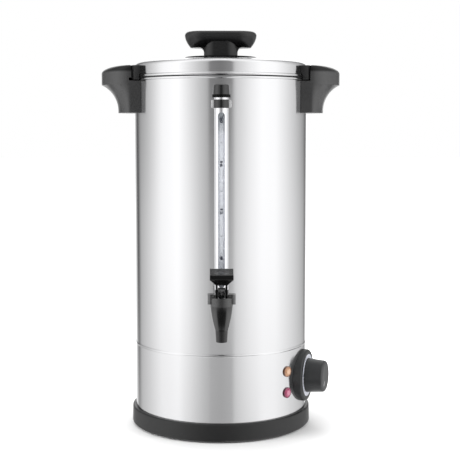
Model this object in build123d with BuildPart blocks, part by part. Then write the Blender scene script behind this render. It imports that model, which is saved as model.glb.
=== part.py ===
from build123d import *
import os
from math import asin, cos, degrees, radians, sin, sqrt

# Hot water urn: single-wall steel tank on a skirt that holds the electrics, with a bayonet lid,
# two moulded handles, a level gauge behind a slotted guard, a drip-free lever tap and a thermostat.
# Millimetres. +Z is up, the origin is on the urn's axis at the floor, and the tap faces -Y.

os.makedirs("parts", exist_ok=True)

# ------------------------------------------------------------------ driving dimensions
# Clearances
fit_gap = 0.2           # between a round piece and the round seat of its own body
run_gap = 0.05          # radial running clearance of a pin, stem or spindle
free_gap = 0.3          # between pieces that move against each other
screw_gap = 0.2         # radial clearance of a screw in its hole

# Vessel
vessel_r = 137.0        # outside of tank and skirt
sheet = 0.8             # stainless sheet of tank, skirt and lid
skirt_h = 123.3         # height of the skirt above the bottom plate
tank_h = 412.0          # from the skirt's top edge to the middle of the rim bead
spigot_h = 7.5          # how far the tank plugs into the skirt
floor_rise = 3.5        # the tank's floor above the skirt's top edge
rim_bead_r = 2.15       # rolled rim of the tank
seam_bead_r = 2.0       # rolled top edge of the skirt

# Base
base_flare = 6.0        # how far the base ring stands out from the skirt
base_h = 27.5           # height of the base ring
base_draft = 0.8        # how much the ring narrows to its top
base_foot_w = 17.0      # radial width of the ring's foot
ledge_h = 8.0           # ledge that carries the bottom plate, above the ring's underside
lip_w = 8.5             # inner lip of the ledge, for the screws
lip_t = 3.0             # thickness of that lip
foot_proud = 1.0        # how far the rubber ring stands below the base ring
foot_groove = 2.0       # depth of its groove
foot_w = 7.6            # radial width of the rubber ring
plate_t = 1.2           # bottom plate
skirt_flange_w = 20.0   # skirt's inward flange on the bottom plate
base_screw_count = 4
base_screw_r = 2.0      # M4
base_nut_h = 3.2
base_screw_end = 2.0    # screw above its nut
vent_count = 10         # slots in the bottom plate
vent_w = 5.0
vent_len = 34.0
vent_inset = 57.0       # middle of the slots, in from the vessel's outside

# Handles
handle_drop = 51.5      # from the rim bead down to the handle's bottom edge
handle_half_w = 62.7    # half the width across the handle
handle_straight = 1.0   # straight sides end this far outside the tank, and the round front starts
handle_out = 50.6       # outermost point of the grip, outside the tank
handle_foot_out = 24.5  # outermost point at the bottom edge
grip_r = 44.5           # radius of the hollow under the grip
grip_z = 48.5           # its centre line, below the rim bead
lip_face_h = 17.5       # upright face of the grip's lip
handle_crown = 11.5     # height of the rounded top over that face
handle_core_wall = 3.5  # wall left round the hollow core
handle_boss_half_w = 9.0
handle_core_out = 20.0  # outermost point of the hollow core
handle_core_h = 38.0
handle_screw_r = 2.5    # M5
handle_screw_drops = (13.5, 41.5)   # below the rim bead
handle_screw_len = 17.0

# Lid lugs, the recess that each handle has for them, and the bayonet groove
lug_t = 11.1            # radial thickness of a lug
lug_half_angle = 27.0
lug_clear = 1.4         # visible gap round a lug
lug_floor_drop = 2.6    # recess floor, below the rim bead
lug_rise = 20.5         # top of a lug, above the rim bead
tongue_w = 3.6          # tongue that goes into the groove
tongue_h = 2.8
tongue_from = 3.0       # degrees, seen from the middle of the lug
tongue_to = 13.0
rivet_r = 2.0
rivet_angle = 15.0

# Lid
bead_gap = 0.6          # between the tank's and the lid's bead, filled by the seal
lid_bead_r = 2.35
lid_wall_h = 20.5       # from the lid bead's middle to the top of its wall
lid_shoulder_r = 6.0
lid_dome_h = 7.0        # rise of the dome to the flat middle
lid_flat_margin = 3.0   # the lid's flat middle, outside the knob's plate
seal_t = 0.5            # flange of the seal between the beads
seal_lip_t = 1.6
seal_lip_h = 10.0
knob_plate_margin = 0.6 # the plate's edge, outside the ends of the knob
knob_plate_t = 3.4
knob_stem_w = 53.0      # across the stem, lengthways of the bar
knob_stem_d = 50.0
knob_stem_corner = 17.0
knob_len = 112.8
knob_w = 58.0
knob_wing_rise = 18.2   # underside of the knob's wings above the plate's seat
knob_wing_h = 19.3      # from there to the widest line
knob_top_h = 5.8        # from the widest line to the top
knob_flare_r = 7.0      # rounding between stem and wings
knob_screw_r = 3.0      # M6
knob_screw_len = 22.0

# Level gauge
gauge_out = 20.0        # gauge axis in front of the tank wall
glass_r = 6.0
glass_wall = 1.6
guard_r = 10.2
guard_wall = 1.0
guard_slot_w = 10.0
guard_drop = 27.0       # top of the guard tube, below the rim bead
guard_slot_top = 25.0   # top of the slot, below the guard's top
guard_slot_foot = 4.0
collar_r = 11.7         # plastic collar round the guard
collar_h = 12.2
strap_r = 14.6          # outside of the steel strap that holds the collar
strap_h = 11.0
strap_front = 4.0       # how far the strap's ends reach past the gauge's axis
cap_ring_r = 13.5
cap_ring_h = 4.4
cap_notches = 22        # finger notches round the cap's ring
cap_overlap = 3.7       # how far the cap comes down over the guard
cap_gap = 2.9           # bare guard between collar and cap
cap_r = 12.6            # foot of the cap's cone
cap_top_r = 11.7
cap_h = 14.2
glass_depth = 16.0      # how deep the glass stands in its socket
seal_well_h = 9.0       # widened mouth of the socket, filled by the lower seal
seal_well_w = 2.6
bracket_arm_w = 10.0
bracket_arm_h = 8.0
bracket_pad_r = 8.0
bracket_pad_t = 3.0
stud_r = 2.5            # screw that holds the bracket, M5

# Tap
shank_rise = 72.0       # shank axis above the skirt's top edge
shank_r = 7.9
shank_bore_r = 5.0
shank_in = 22.0         # shank inside the tank
shank_flange_r = 13.0
shank_flange_t = 4.0
shank_nut_r = 13.0
shank_nut_t = 7.0
seal_washer_t = 1.5
socket_r = 11.0         # upright socket that holds the gauge
socket_h = 30.0         # above the shank axis
feed_bore_r = 3.5       # water's way from the shank up to the glass
shank_hub_r = 10.3      # end of the tee that the tap is screwed against
tap_out = 48.0          # tap axis in front of the tank wall
spout_tip_r = 8.3
spout_neck_r = 9.6
spout_h = 18.0
spout_bore_r = 4.8
cone_h = 35.0
cone_r = 16.6
cone_over_shank = 10.5  # shoulder of the tap body above the shank's axis
cone_bulge = 1.0
neck_r = 13.0
neck_h = 7.0
chamber_r = 10.0
seat_rise = 33.0        # valve seat above the spout's tip
bonnet_r = 16.8
bonnet_h = 12.8
bonnet_roof = 3.4
ear_r = 20.3
ear_h = 14.2
ear_half_w = 7.5
ear_inner = 9.3
ear_foot = 3.0
ear_notch_x = 13.6
ear_notch_r = 0.9
stem_guide_r = 5.0      # cone round the stem on the bonnet
stem_guide_h = 3.2
stem_r = 2.5
eye_r = 3.85
eye_w = 10.4
pin_rise = 9.7          # lever pin above the bonnet's roof
pin_r = 1.5
spring_coil_r = 5.0
spring_wire_r = 0.5
spring_turns = 6
cup_r = 7.6
cup_t = 4.0
cup_socket = 3.0        # how deep the stem sits in the cup
seat_lip_h = 1.0
seat_gap = 0.1
stem_lift = 3.5         # valve lift at the lever's full tilt
lever_tilt = 40.0       # full tilt of the lever, degrees
cheek_gap = 11.0        # between the lever's cheeks
cheek_top = 8.0         # top of the gap, above the pin
cheek_back = 5.0        # back of the heel, behind the pin
neck_w = 17.0           # across the cheeks
neck_top = 8.0          # where the paddle starts to widen, above the pin
paddle_w = 33.6
paddle_foot = 17.0      # where it has its full width
paddle_top = 31.5
paddle_reach = 25.5     # front of the finger lip, in front of the pin
lip_foot = 18.0
lip_top = 26.0

# Thermostat
dial_azimuth = 71.0     # from the front towards +X
dial_z = 82.0
bezel_r = 40.7
bezel_out = 8.0         # bezel's face in front of the skirt
bezel_sink = 9.0        # depth of its saddle behind that tangent plane
dial_ring_r = 33.0
dial_ring_w = 6.0
dial_ring_t = 1.4
dial_ring_sink = 0.2
knob_r = 26.8
knob_tip_r = 24.4
knob_gap = 0.5
dial_knob_h = 28.5
knob_shoulder = 4.5
spindle_r = 3.0
spindle_boss_r = 5.0
spindle_boss_out = 4.0  # boss of the thermostat, in front of the skirt
spindle_in = 14.0       # spindle inside the thermostat
spindle_grip = 18.0     # spindle inside the knob
stat_half_w = 20.0
stat_half_h = 17.0
stat_plate_t = 1.5
stat_depth = 24.0
stat_body_r = 15.0
stat_screw_r = 2.0
stat_screw_out = 14.0
stat_screw_head_h = 2.5

# Lamps
lamp_azimuth = 47.5
lamp_upper_z = 98.0
lamp_lower_z = 65.0
lamp_r = 8.3
lamp_rim_t = 1.6
lamp_dome_h = 2.2
lamp_barrel_r = 5.6
lamp_barrel_len = 24.0
lamp_nut_r = 9.0
lamp_nut_t = 4.0
lamp_tab_x = 2.5        # contact tabs behind the barrel
lamp_tab_w = 4.8
lamp_tab_t = 0.8
lamp_tab_len = 7.0

# Heater
spreader_r = 88.0
spreader_t = 5.0
element_r = 62.0        # radius of the heating ring
tube_r = 4.2            # sheath of the element
element_gap_angle = 46.0
element_leg = 24.0
element_bend = 12.0
clamp_r = 80.0
clamp_t = 1.5
clamp_hole_r = 34.0
clamp_stud_r = 3.0
clamp_stud_pcd_r = 44.0
clamp_nut_h = 5.0
clamp_stud_end = 2.0    # stud below its nut

# Cut-out, terminals and cable gland
cutout_x = -55.0
cutout_y = 42.0
cutout_r = 13.0
cutout_h = 20.0
cutout_nose_r = 5.0
button_r = 3.0
button_len = 17.0
button_travel = 1.5
terminal_x = 30.0
terminal_y = 78.0
terminal_l = 44.0
terminal_w = 20.0
terminal_h = 18.0
terminal_screws = 3
terminal_well_r = 3.2   # wells for its clamping screws
terminal_well_h = 9.0
terminal_screw_h = 5.0
wire_hole_r = 2.3
wire_hole_rise = 5.0
wire_hole_depth = 7.0
cutout_nose_len = 4.2
cutout_nut_r = 8.5
cutout_nut_t = 2.2
button_z = 4.5          # lower end of the reset button
gland_z = 66.0
window_w = 56.0         # opening in the rear of the skirt, behind the gland's plate
window_h = 44.0
rear_plate_w = 76.0     # plate that closes it and carries the gland
rear_plate_h = 60.0
rear_plate_t = 1.0
rear_rivet_r = 1.6
rear_rivet_side = 5.321     # rivets, in from the plate's upright edges
rear_rivet_edge = 4.5       # and from its upper and lower edges
gland_r = 11.0
gland_out = 13.0
gland_flange_t = 3.0
gland_thread_r = 8.0
gland_in = 14.0
gland_bore_r = 4.3
gland_nut_r = 11.5
gland_nut_t = 5.0

# ------------------------------------------------------------------ levels that follow from them
foot_z = foot_proud
ledge_z = foot_z + ledge_h
base_top_z = foot_z + base_h
plate_top_z = ledge_z + plate_t
skirt_top_z = plate_top_z + skirt_h
floor_z = skirt_top_z + floor_rise
rim_z = skirt_top_z + tank_h
wall_in_r = vessel_r - sheet
knob_plate_r = knob_len / 2 + knob_plate_margin
lid_flat_r = knob_plate_r + lid_flat_margin
shank_z = skirt_top_z + shank_rise
socket_top_z = shank_z + socket_h
gauge_r = vessel_r + gauge_out      # gauge axis, from the urn's axis
tap_r = vessel_r + tap_out          # tap axis, from the urn's axis
guard_top_z = rim_z - guard_drop
cap_z = guard_top_z - cap_overlap
collar_top_z = cap_z - cap_gap
stud_z = collar_top_z - collar_h / 2
cone_top_z = shank_z + cone_over_shank
spout_tip_z = cone_top_z - cone_h - spout_h
seat_z = spout_tip_z + seat_rise
roof_z = cone_top_z + bonnet_h
pin_z = roof_z + pin_rise
rear_rivet_rise = rear_plate_h / 2 - rear_rivet_edge
rear_rivet_angle = degrees(asin((rear_plate_w / 2 - rear_rivet_side) / vessel_r))


def radial_plane(azimuth, height, radius):
    """Plane at a radius from the urn's axis that faces outward. Azimuth runs from -Y towards +X."""
    turn = radians(azimuth)
    outward = Vector(sin(turn), -cos(turn), 0)
    centre = outward * radius + Vector(0, 0, height)
    return Plane(origin=centre, x_dir=(cos(turn), sin(turn), 0), z_dir=outward)


UPWARD = (Align.CENTER, Align.CENTER, Align.MIN)


def save(piece, name):
    """Label a finished piece and write it as its own STEP file."""
    piece.part.label = name
    export_step(piece.part, f"parts/{name}.step")


def nearest(shape_list, *point):
    """The vertex nearest to a point of the sketch, for rounding one corner of a profile."""
    return shape_list.sort_by_distance(point)[0]


# ================================================================== base
base_r = vessel_r + base_flare
vent_pcd_r = vessel_r - vent_inset
ring_wall_r = vessel_r + fit_gap
ring_foot_r = base_r - base_foot_w
ring_lip_r = ring_foot_r - lip_w
foot_mid_r = base_r - base_foot_w / 2
screw_pcd_r = ring_foot_r - lip_w / 2

with BuildPart() as base_ring:
    with BuildSketch(Plane.XZ) as section:
        with BuildLine():
            Polyline(
                (ring_foot_r, foot_z),
                (base_r, foot_z),
                (base_r - base_draft, base_top_z),
                (ring_wall_r, base_top_z),
                (ring_wall_r, ledge_z),
                (ring_lip_r, ledge_z),
                (ring_lip_r, ledge_z - lip_t),
                (ring_foot_r, ledge_z - lip_t),
                close=True,
            )
        make_face()
        fillet(nearest(section.vertices(), base_r, foot_z), 3.0)
        fillet(nearest(section.vertices(), base_r - base_draft, base_top_z), 2.5)
        with Locations((foot_mid_r, foot_z)):
            Rectangle(foot_w + 2 * fit_gap, 2 * foot_groove, mode=Mode.SUBTRACT)
    revolve(axis=Axis.Z)
    with BuildSketch(Plane.XY):
        with PolarLocations(screw_pcd_r, base_screw_count, start_angle=45):
            Circle(base_screw_r + screw_gap)
    extrude(amount=base_top_z, mode=Mode.SUBTRACT)
save(base_ring, "base_ring")

with BuildPart() as foot_ring:
    with BuildSketch(Plane.XZ):
        with Locations((foot_mid_r, 0)):
            Rectangle(foot_w, foot_z + foot_groove, align=(Align.CENTER, Align.MIN))
    revolve(axis=Axis.Z)
save(foot_ring, "foot_ring")

with BuildPart() as bottom_plate:
    with BuildSketch(Plane.XY.offset(ledge_z)):
        Circle(vessel_r)
        with PolarLocations(screw_pcd_r, base_screw_count, start_angle=45):
            Circle(base_screw_r + screw_gap, mode=Mode.SUBTRACT)
        with PolarLocations(vent_pcd_r, vent_count, start_angle=90):
            SlotOverall(vent_len, vent_w, mode=Mode.SUBTRACT)
        with Locations((cutout_x, cutout_y)):
            Circle(cutout_nose_r + fit_gap, mode=Mode.SUBTRACT)
    extrude(amount=plate_t)
save(bottom_plate, "bottom_plate")

with BuildPart() as base_screws:
    with BuildSketch(Plane.XY.offset(ledge_z - lip_t)):
        with PolarLocations(screw_pcd_r, base_screw_count, start_angle=45):
            Circle(2 * base_screw_r)
    extrude(amount=-0.7 * 2 * base_screw_r)
    fillet(base_screws.faces().sort_by(Axis.Z)[:base_screw_count].edges(), 1.2)
    with BuildSketch(Plane.XY.offset(ledge_z - lip_t)):
        with PolarLocations(screw_pcd_r, base_screw_count, start_angle=45):
            Circle(base_screw_r)
    extrude(amount=lip_t + plate_t + sheet + base_nut_h + base_screw_end)
save(base_screws, "base_screws")

with BuildPart() as base_nuts:
    with BuildSketch(Plane.XY.offset(plate_top_z + sheet)):
        with PolarLocations(screw_pcd_r, base_screw_count, start_angle=45):
            RegularPolygon(1.75 * base_screw_r, 6, major_radius=False)
            Circle(base_screw_r + fit_gap / 2, mode=Mode.SUBTRACT)
    extrude(amount=base_nut_h)
save(base_nuts, "base_nuts")

# ================================================================== skirt
with BuildPart() as skirt:
    with BuildSketch(Plane.XZ) as section:
        with BuildLine():
            Polyline(
                (vessel_r - skirt_flange_w, plate_top_z),
                (vessel_r, plate_top_z),
                (vessel_r, skirt_top_z),
                (wall_in_r, skirt_top_z),
                (wall_in_r, plate_top_z + sheet),
                (vessel_r - skirt_flange_w, plate_top_z + sheet),
                close=True,
            )
        make_face()
        with Locations((vessel_r - sheet / 2, skirt_top_z - seam_bead_r)):
            Ellipse(sheet + 0.25, seam_bead_r)
        with Locations((wall_in_r, skirt_top_z - seam_bead_r)):
            Rectangle(2, 3 * seam_bead_r, align=(Align.MAX, Align.CENTER), mode=Mode.SUBTRACT)
    revolve(axis=Axis.Z)
    with BuildSketch(Plane.XY):
        with PolarLocations(screw_pcd_r, base_screw_count, start_angle=45):
            Circle(base_screw_r + screw_gap)
    extrude(amount=plate_top_z + 2, mode=Mode.SUBTRACT)
    with BuildSketch(radial_plane(dial_azimuth, dial_z, vessel_r)):
        Circle(spindle_boss_r + fit_gap)
        with GridLocations(2 * stat_screw_out, 0, 2, 1):
            Circle(stat_screw_r + screw_gap)
    extrude(amount=10, both=True, mode=Mode.SUBTRACT)
    for lamp_z in (lamp_upper_z, lamp_lower_z):
        with BuildSketch(radial_plane(lamp_azimuth, lamp_z, vessel_r)):
            Circle(lamp_barrel_r + fit_gap)
        extrude(amount=10, both=True, mode=Mode.SUBTRACT)
    with BuildSketch(radial_plane(180, gland_z, vessel_r)):
        RectangleRounded(window_w, window_h, 4)
    extrude(amount=10, both=True, mode=Mode.SUBTRACT)
    for turn in (-rear_rivet_angle, rear_rivet_angle):
        with BuildSketch(radial_plane(180 + turn, gland_z, vessel_r)):
            with GridLocations(0, 2 * rear_rivet_rise, 1, 2):
                Circle(rear_rivet_r + screw_gap)
        extrude(amount=5, both=True, mode=Mode.SUBTRACT)
save(skirt, "skirt")

# ================================================================== tank
spigot_r = wall_in_r - fit_gap
joggle_h = 0.8

with BuildPart() as tank:
    with BuildSketch(Plane.XZ):
        with BuildLine():
            Polyline(
                (spigot_r - sheet, skirt_top_z - spigot_h),
                (spigot_r, skirt_top_z - spigot_h),
                (spigot_r, skirt_top_z + fit_gap),
                (vessel_r, skirt_top_z + joggle_h),
                (vessel_r, rim_z),
                (wall_in_r, rim_z),
                (wall_in_r, skirt_top_z + 2 * joggle_h),
                (spigot_r - sheet, skirt_top_z + joggle_h),
                close=True,
            )
        make_face()
        with Locations((vessel_r - sheet / 2, rim_z)):
            Circle(rim_bead_r)
    revolve(axis=Axis.Z)
    with BuildSketch(radial_plane(0, shank_z, vessel_r)):
        Circle(shank_r + fit_gap)
        with Locations((0, stud_z - shank_z)):
            Circle(stud_r + fit_gap)
    extrude(amount=10, both=True, mode=Mode.SUBTRACT)
    for side in (-90, 90):
        for drop in handle_screw_drops:
            with BuildSketch(radial_plane(side, rim_z - drop, vessel_r)):
                Circle(handle_screw_r + screw_gap)
            extrude(amount=10, both=True, mode=Mode.SUBTRACT)
save(tank, "tank")

with BuildPart() as tank_floor:
    with Locations((0, 0, floor_z - sheet)):
        Cylinder(wall_in_r - fit_gap / 2, sheet, align=UPWARD)
save(tank_floor, "tank_floor")

# ================================================================== handles
recess_z = rim_z - lug_floor_drop
lug_r = vessel_r + lug_t + 0.5
recess_r = lug_r + lug_clear
handle_z = rim_z - handle_drop
handle_straight_x = vessel_r + handle_straight
handle_reach = vessel_r + handle_out
handle_foot_reach = vessel_r + handle_foot_out
handle_core_reach = vessel_r + handle_core_out
grip_mid_z = rim_z - grip_z
grip_mid_x = handle_foot_reach + grip_r
lip_z = grip_mid_z + sqrt(grip_r**2 - (grip_mid_x - handle_reach) ** 2)
crown_z = lip_z + lip_face_h
handle_back_x = 0.73 * vessel_r
groove_end = 60.0       # rear end of the bayonet groove, degrees


def grip_outline(height, reach, half_w):
    """Plan of a handle at one height: straight sides closed by half an ellipse."""
    with BuildSketch(Plane.XY.offset(height)) as outline:
        with BuildLine():
            EllipticalCenterArc(
                (handle_straight_x, 0), reach - handle_straight_x, half_w, start_angle=-90, arc_size=180
            )
            Polyline(
                (handle_straight_x, half_w),
                (handle_back_x, half_w),
                (handle_back_x, -half_w),
                (handle_straight_x, -half_w),
            )
        make_face()
    return outline.sketch


def grip_reach(height):
    """How far the hollow under the grip lets the handle reach at one height."""
    return grip_mid_x - sqrt(grip_r**2 - (height - grip_mid_z) ** 2)


def ring_sector(height, inner_r, outer_r, start, end):
    """Flat piece of a ring between two angles, counted from +X."""
    with BuildSketch(Plane.XY.offset(height)) as sector:
        with BuildLine():
            outer = CenterArc((0, 0), outer_r, start, end - start)
            inner = CenterArc((0, 0), inner_r, start, end - start)
            Line(outer @ 0, inner @ 0)
            Line(outer @ 1, inner @ 1)
        make_face()
    return sector.sketch


grip_steps = 6
grip_crowding = 1.7     # sections lie closer together towards the lip
grip_shares = [1 - (1 - i / grip_steps) ** grip_crowding for i in range(grip_steps + 1)]
grip_heights = [handle_z + share * (lip_z - handle_z) for share in grip_shares]
crown_steps = 4
crown_turns = [radians(90 * i / crown_steps) for i in range(crown_steps + 1)]
crown_depth = 30.0      # how far the crown's rounding reaches in from the lip
crown_side = 5.0        # and from the straight sides

with BuildPart() as handle_right:
    loft(sections=[grip_outline(z, grip_reach(z), handle_half_w) for z in grip_heights])
    extrude(grip_outline(lip_z, handle_reach, handle_half_w), amount=lip_face_h)
    loft(
        sections=[
            grip_outline(
                crown_z + handle_crown * sin(turn),
                handle_reach - crown_depth * (1 - cos(turn)),
                handle_half_w - crown_side * (1 - cos(turn)),
            )
            for turn in crown_turns
        ]
    )
    with Locations((0, 0, handle_z - 1)):
        Cylinder(ring_wall_r, handle_drop + lug_rise + handle_crown, align=UPWARD, mode=Mode.SUBTRACT)
    with Locations((0, 0, recess_z)):
        Cylinder(recess_r, handle_drop, align=UPWARD, mode=Mode.SUBTRACT)
    # groove for the lid's tongue, open at the rear end, and the pocket where the tongue drops in
    extrude(
        ring_sector(recess_z, recess_r - 2, recess_r + tongue_w, -tongue_to - 1, groove_end),
        amount=lug_clear + tongue_h + 0.5,
        mode=Mode.SUBTRACT,
    )
    extrude(
        ring_sector(recess_z, recess_r - 2, recess_r + tongue_w, -tongue_to - 1, -tongue_from + 1),
        amount=handle_drop,
        mode=Mode.SUBTRACT,
    )
    # hollow core either side of the screw boss, open to the tank
    with BuildSketch(Plane.XY.offset(handle_z + handle_core_wall)):
        add(grip_outline(0, handle_core_reach, handle_half_w - handle_core_wall))
        Rectangle(3 * vessel_r, 2 * handle_boss_half_w, mode=Mode.SUBTRACT)
    extrude(amount=handle_core_h, mode=Mode.SUBTRACT)
    for drop in handle_screw_drops:
        with BuildSketch(radial_plane(90, rim_z - drop, vessel_r)):
            Circle(handle_screw_r + screw_gap / 2)
        extrude(amount=handle_screw_len + 1, mode=Mode.SUBTRACT)
save(handle_right, "handle_right")

with BuildPart() as handle_left:
    add(handle_right.part.rotate(Axis.Z, 180))
save(handle_left, "handle_left")

with BuildPart() as handle_screws:
    for side in (-90, 90):
        for drop in handle_screw_drops:
            seat = radial_plane(side, rim_z - drop, wall_in_r - fit_gap)
            with BuildSketch(seat):
                Circle(2 * handle_screw_r)
            extrude(amount=-0.7 * handle_screw_r * 2)
            with BuildSketch(seat):
                Circle(handle_screw_r)
            extrude(amount=handle_screw_len)
save(handle_screws, "handle_screws")

# ================================================================== lid
bead_mid_r = vessel_r - sheet / 2
lid_bead_z = rim_z + rim_bead_r + bead_gap + lid_bead_r
lid_top_z = lid_bead_z + lid_wall_h
lid_flat_z = lid_top_z + lid_dome_h
lug_z = recess_z + lug_clear
lug_top_z = rim_z + lug_rise
rivet_z = (lid_bead_z + lid_bead_r + lug_top_z) / 2


def lid_skin(inset):
    """Half section of the lid's outer skin, moved in by a distance."""
    with BuildSketch(Plane.XZ) as skin:
        with BuildLine():
            wall = vessel_r - inset
            top = lid_top_z - inset
            flat = lid_flat_z - inset
            Line((0, flat), (lid_flat_r, flat))
            halfway = ((lid_flat_r + wall) / 2, (flat + top) / 2 + 0.2 * lid_dome_h)
            ThreePointArc((lid_flat_r, flat), halfway, (wall, top))
            Polyline((wall, top), (wall, lid_bead_z), (0, lid_bead_z), (0, flat))
        make_face()
        fillet(nearest(skin.vertices(), wall, top), lid_shoulder_r - inset)
    return skin.sketch


with BuildPart() as lid:
    with BuildSketch(Plane.XZ):
        add(lid_skin(0))
        add(lid_skin(sheet), mode=Mode.SUBTRACT)
        with Locations((bead_mid_r, lid_bead_z)):
            Circle(lid_bead_r)
    revolve(axis=Axis.Z)
    with BuildSketch(Plane.XY.offset(lid_top_z)):
        Circle(knob_screw_r + screw_gap)
    extrude(amount=2 * lid_dome_h, mode=Mode.SUBTRACT)
    for side in (-90, 90):
        for turn in (-rivet_angle, rivet_angle):
            with BuildSketch(radial_plane(side + turn, rivet_z, vessel_r)):
                Circle(rivet_r + screw_gap)
            extrude(amount=5, both=True, mode=Mode.SUBTRACT)
save(lid, "lid")

seal_z = rim_z + rim_bead_r + (bead_gap - seal_t) / 2
seal_out_r = bead_mid_r - lid_bead_r - free_gap
with BuildPart() as lid_seal:
    with BuildSketch(Plane.XZ):
        with Locations((seal_out_r - seal_lip_t, seal_z)):
            Rectangle(bead_mid_r + 1.6 - seal_out_r + seal_lip_t, seal_t, align=(Align.MIN, Align.MIN))
        with Locations((seal_out_r - seal_lip_t, seal_z - seal_lip_h)):
            Rectangle(seal_lip_t, seal_lip_h + seal_t + lid_bead_r, align=(Align.MIN, Align.MIN))
    revolve(axis=Axis.Z)
save(lid_seal, "lid_seal")

lug_in_r = bead_mid_r + lid_bead_r + 0.6
with BuildPart() as lid_lugs:
    for side in (0, 180):
        extrude(
            ring_sector(lug_z, lug_in_r, lug_r, side - lug_half_angle, side + lug_half_angle),
            amount=lug_top_z - lug_z,
        )
        extrude(
            ring_sector(
                lid_bead_z + lid_bead_r + fit_gap,
                vessel_r + fit_gap,
                lug_r,
                side - lug_half_angle,
                side + lug_half_angle,
            ),
            amount=lug_top_z - lid_bead_z - lid_bead_r - fit_gap,
        )
        extrude(
            ring_sector(lug_z, lug_r - 1, lug_r + tongue_w, side - tongue_to, side - tongue_from),
            amount=tongue_h,
        )
    for side in (-90, 90):
        for turn in (-rivet_angle, rivet_angle):
            with BuildSketch(radial_plane(side + turn, rivet_z, vessel_r)):
                Circle(rivet_r + screw_gap / 2)
            extrude(amount=lug_t - 2, mode=Mode.SUBTRACT)
save(lid_lugs, "lid_lugs")

with BuildPart() as lug_rivets:
    for side in (-90, 90):
        for turn in (-rivet_angle, rivet_angle):
            seat = radial_plane(side + turn, rivet_z, wall_in_r - fit_gap / 2)
            with BuildSketch(seat):
                Circle(2 * rivet_r)
            extrude(amount=-0.8 * rivet_r)
            with BuildSketch(seat):
                Circle(rivet_r)
            extrude(amount=lug_t - 2)
save(lug_rivets, "lug_rivets")

with BuildPart() as knob_plate:
    with BuildSketch(Plane.XY.offset(lid_flat_z)):
        Circle(knob_plate_r)
        Circle(knob_screw_r + screw_gap, mode=Mode.SUBTRACT)
    extrude(amount=knob_plate_t)
    fillet(knob_plate.faces().sort_by(Axis.Z)[-1].outer_wire().edges(), 2.0)
save(knob_plate, "knob_plate")

knob_z = lid_flat_z + knob_plate_t
wing_z = lid_flat_z + knob_wing_rise


def slot_at(height, length, width):
    """Plan of the knob's bar at one height."""
    with BuildSketch(Plane.XY.offset(height)) as plan:
        SlotOverall(length, width)
    return plan.sketch


# length and width of the bar from its underside up to its widest line, as shares of the widest
wing_shape = (
    (0.0, 0.84, 0.52),
    (0.25, 0.905, 0.73),
    (0.5, 0.955, 0.88),
    (0.75, 0.987, 0.965),
    (1.0, 1.0, 1.0),
)
top_shape = ((0.0, 1.0, 1.0), (0.45, 0.985, 0.97), (0.8, 0.95, 0.91), (1.0, 0.89, 0.8))

with BuildPart() as lid_knob:
    loft(
        sections=[
            slot_at(wing_z + share * knob_wing_h, length * knob_len, width * knob_w)
            for share, length, width in wing_shape
        ]
    )
    loft(
        sections=[
            slot_at(wing_z + knob_wing_h + share * knob_top_h, length * knob_len, width * knob_w)
            for share, length, width in top_shape
        ]
    )
    with BuildSketch(Plane.XY.offset(knob_z)):
        RectangleRounded(knob_stem_w, knob_stem_d, knob_stem_corner)
    extrude(amount=wing_z - knob_z + 0.75 * knob_wing_h)
    # rounded corner between the stem and the wings
    with BuildSketch(Plane.XZ):
        with BuildLine():
            knob_stem_r = knob_stem_w / 2
            flare_end = knob_stem_r + knob_flare_r
            flare_depth = knob_flare_r * (1 - cos(radians(45)))
            Line((0, wing_z - knob_flare_r), (knob_stem_r, wing_z - knob_flare_r))
            ThreePointArc(
                (knob_stem_r, wing_z - knob_flare_r),
                (knob_stem_r + flare_depth, wing_z - flare_depth),
                (flare_end, wing_z),
            )
            Polyline((flare_end, wing_z), (flare_end, wing_z + 1), (0, wing_z + 1))
            mirror(about=Plane.YZ)
        make_face()
    extrude(amount=wing_shape[0][2] * knob_w / 2, both=True)
    with BuildSketch(Plane.XY.offset(knob_z)):
        Circle(knob_screw_r + screw_gap / 2)
    extrude(amount=knob_screw_len, mode=Mode.SUBTRACT)
save(lid_knob, "lid_knob")

with BuildPart() as knob_screw:
    with BuildSketch(Plane.XY.offset(lid_flat_z - sheet)):
        Circle(2.6 * knob_screw_r)
    extrude(amount=-1.5)
    with BuildSketch(Plane.XY.offset(lid_flat_z - sheet - 1.5)):
        RegularPolygon(1.7 * knob_screw_r, 6, major_radius=False)
    extrude(amount=-1.3 * knob_screw_r)
    with BuildSketch(Plane.XY.offset(lid_flat_z - sheet)):
        Circle(knob_screw_r)
    extrude(amount=knob_screw_len)
save(knob_screw, "knob_screw")

# ================================================================== level gauge
hub_face_r = gauge_r + socket_r + fit_gap
flange_out_r = vessel_r + seal_washer_t + fit_gap
inner_washer_r = sqrt(wall_in_r**2 - shank_flange_r**2) - fit_gap / 2
glass_foot_z = socket_top_z - glass_depth
glass_top_z = guard_top_z - 1
seal_well_r = glass_r + seal_well_w
thread_end_r = tap_r - chamber_r - fit_gap

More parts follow.
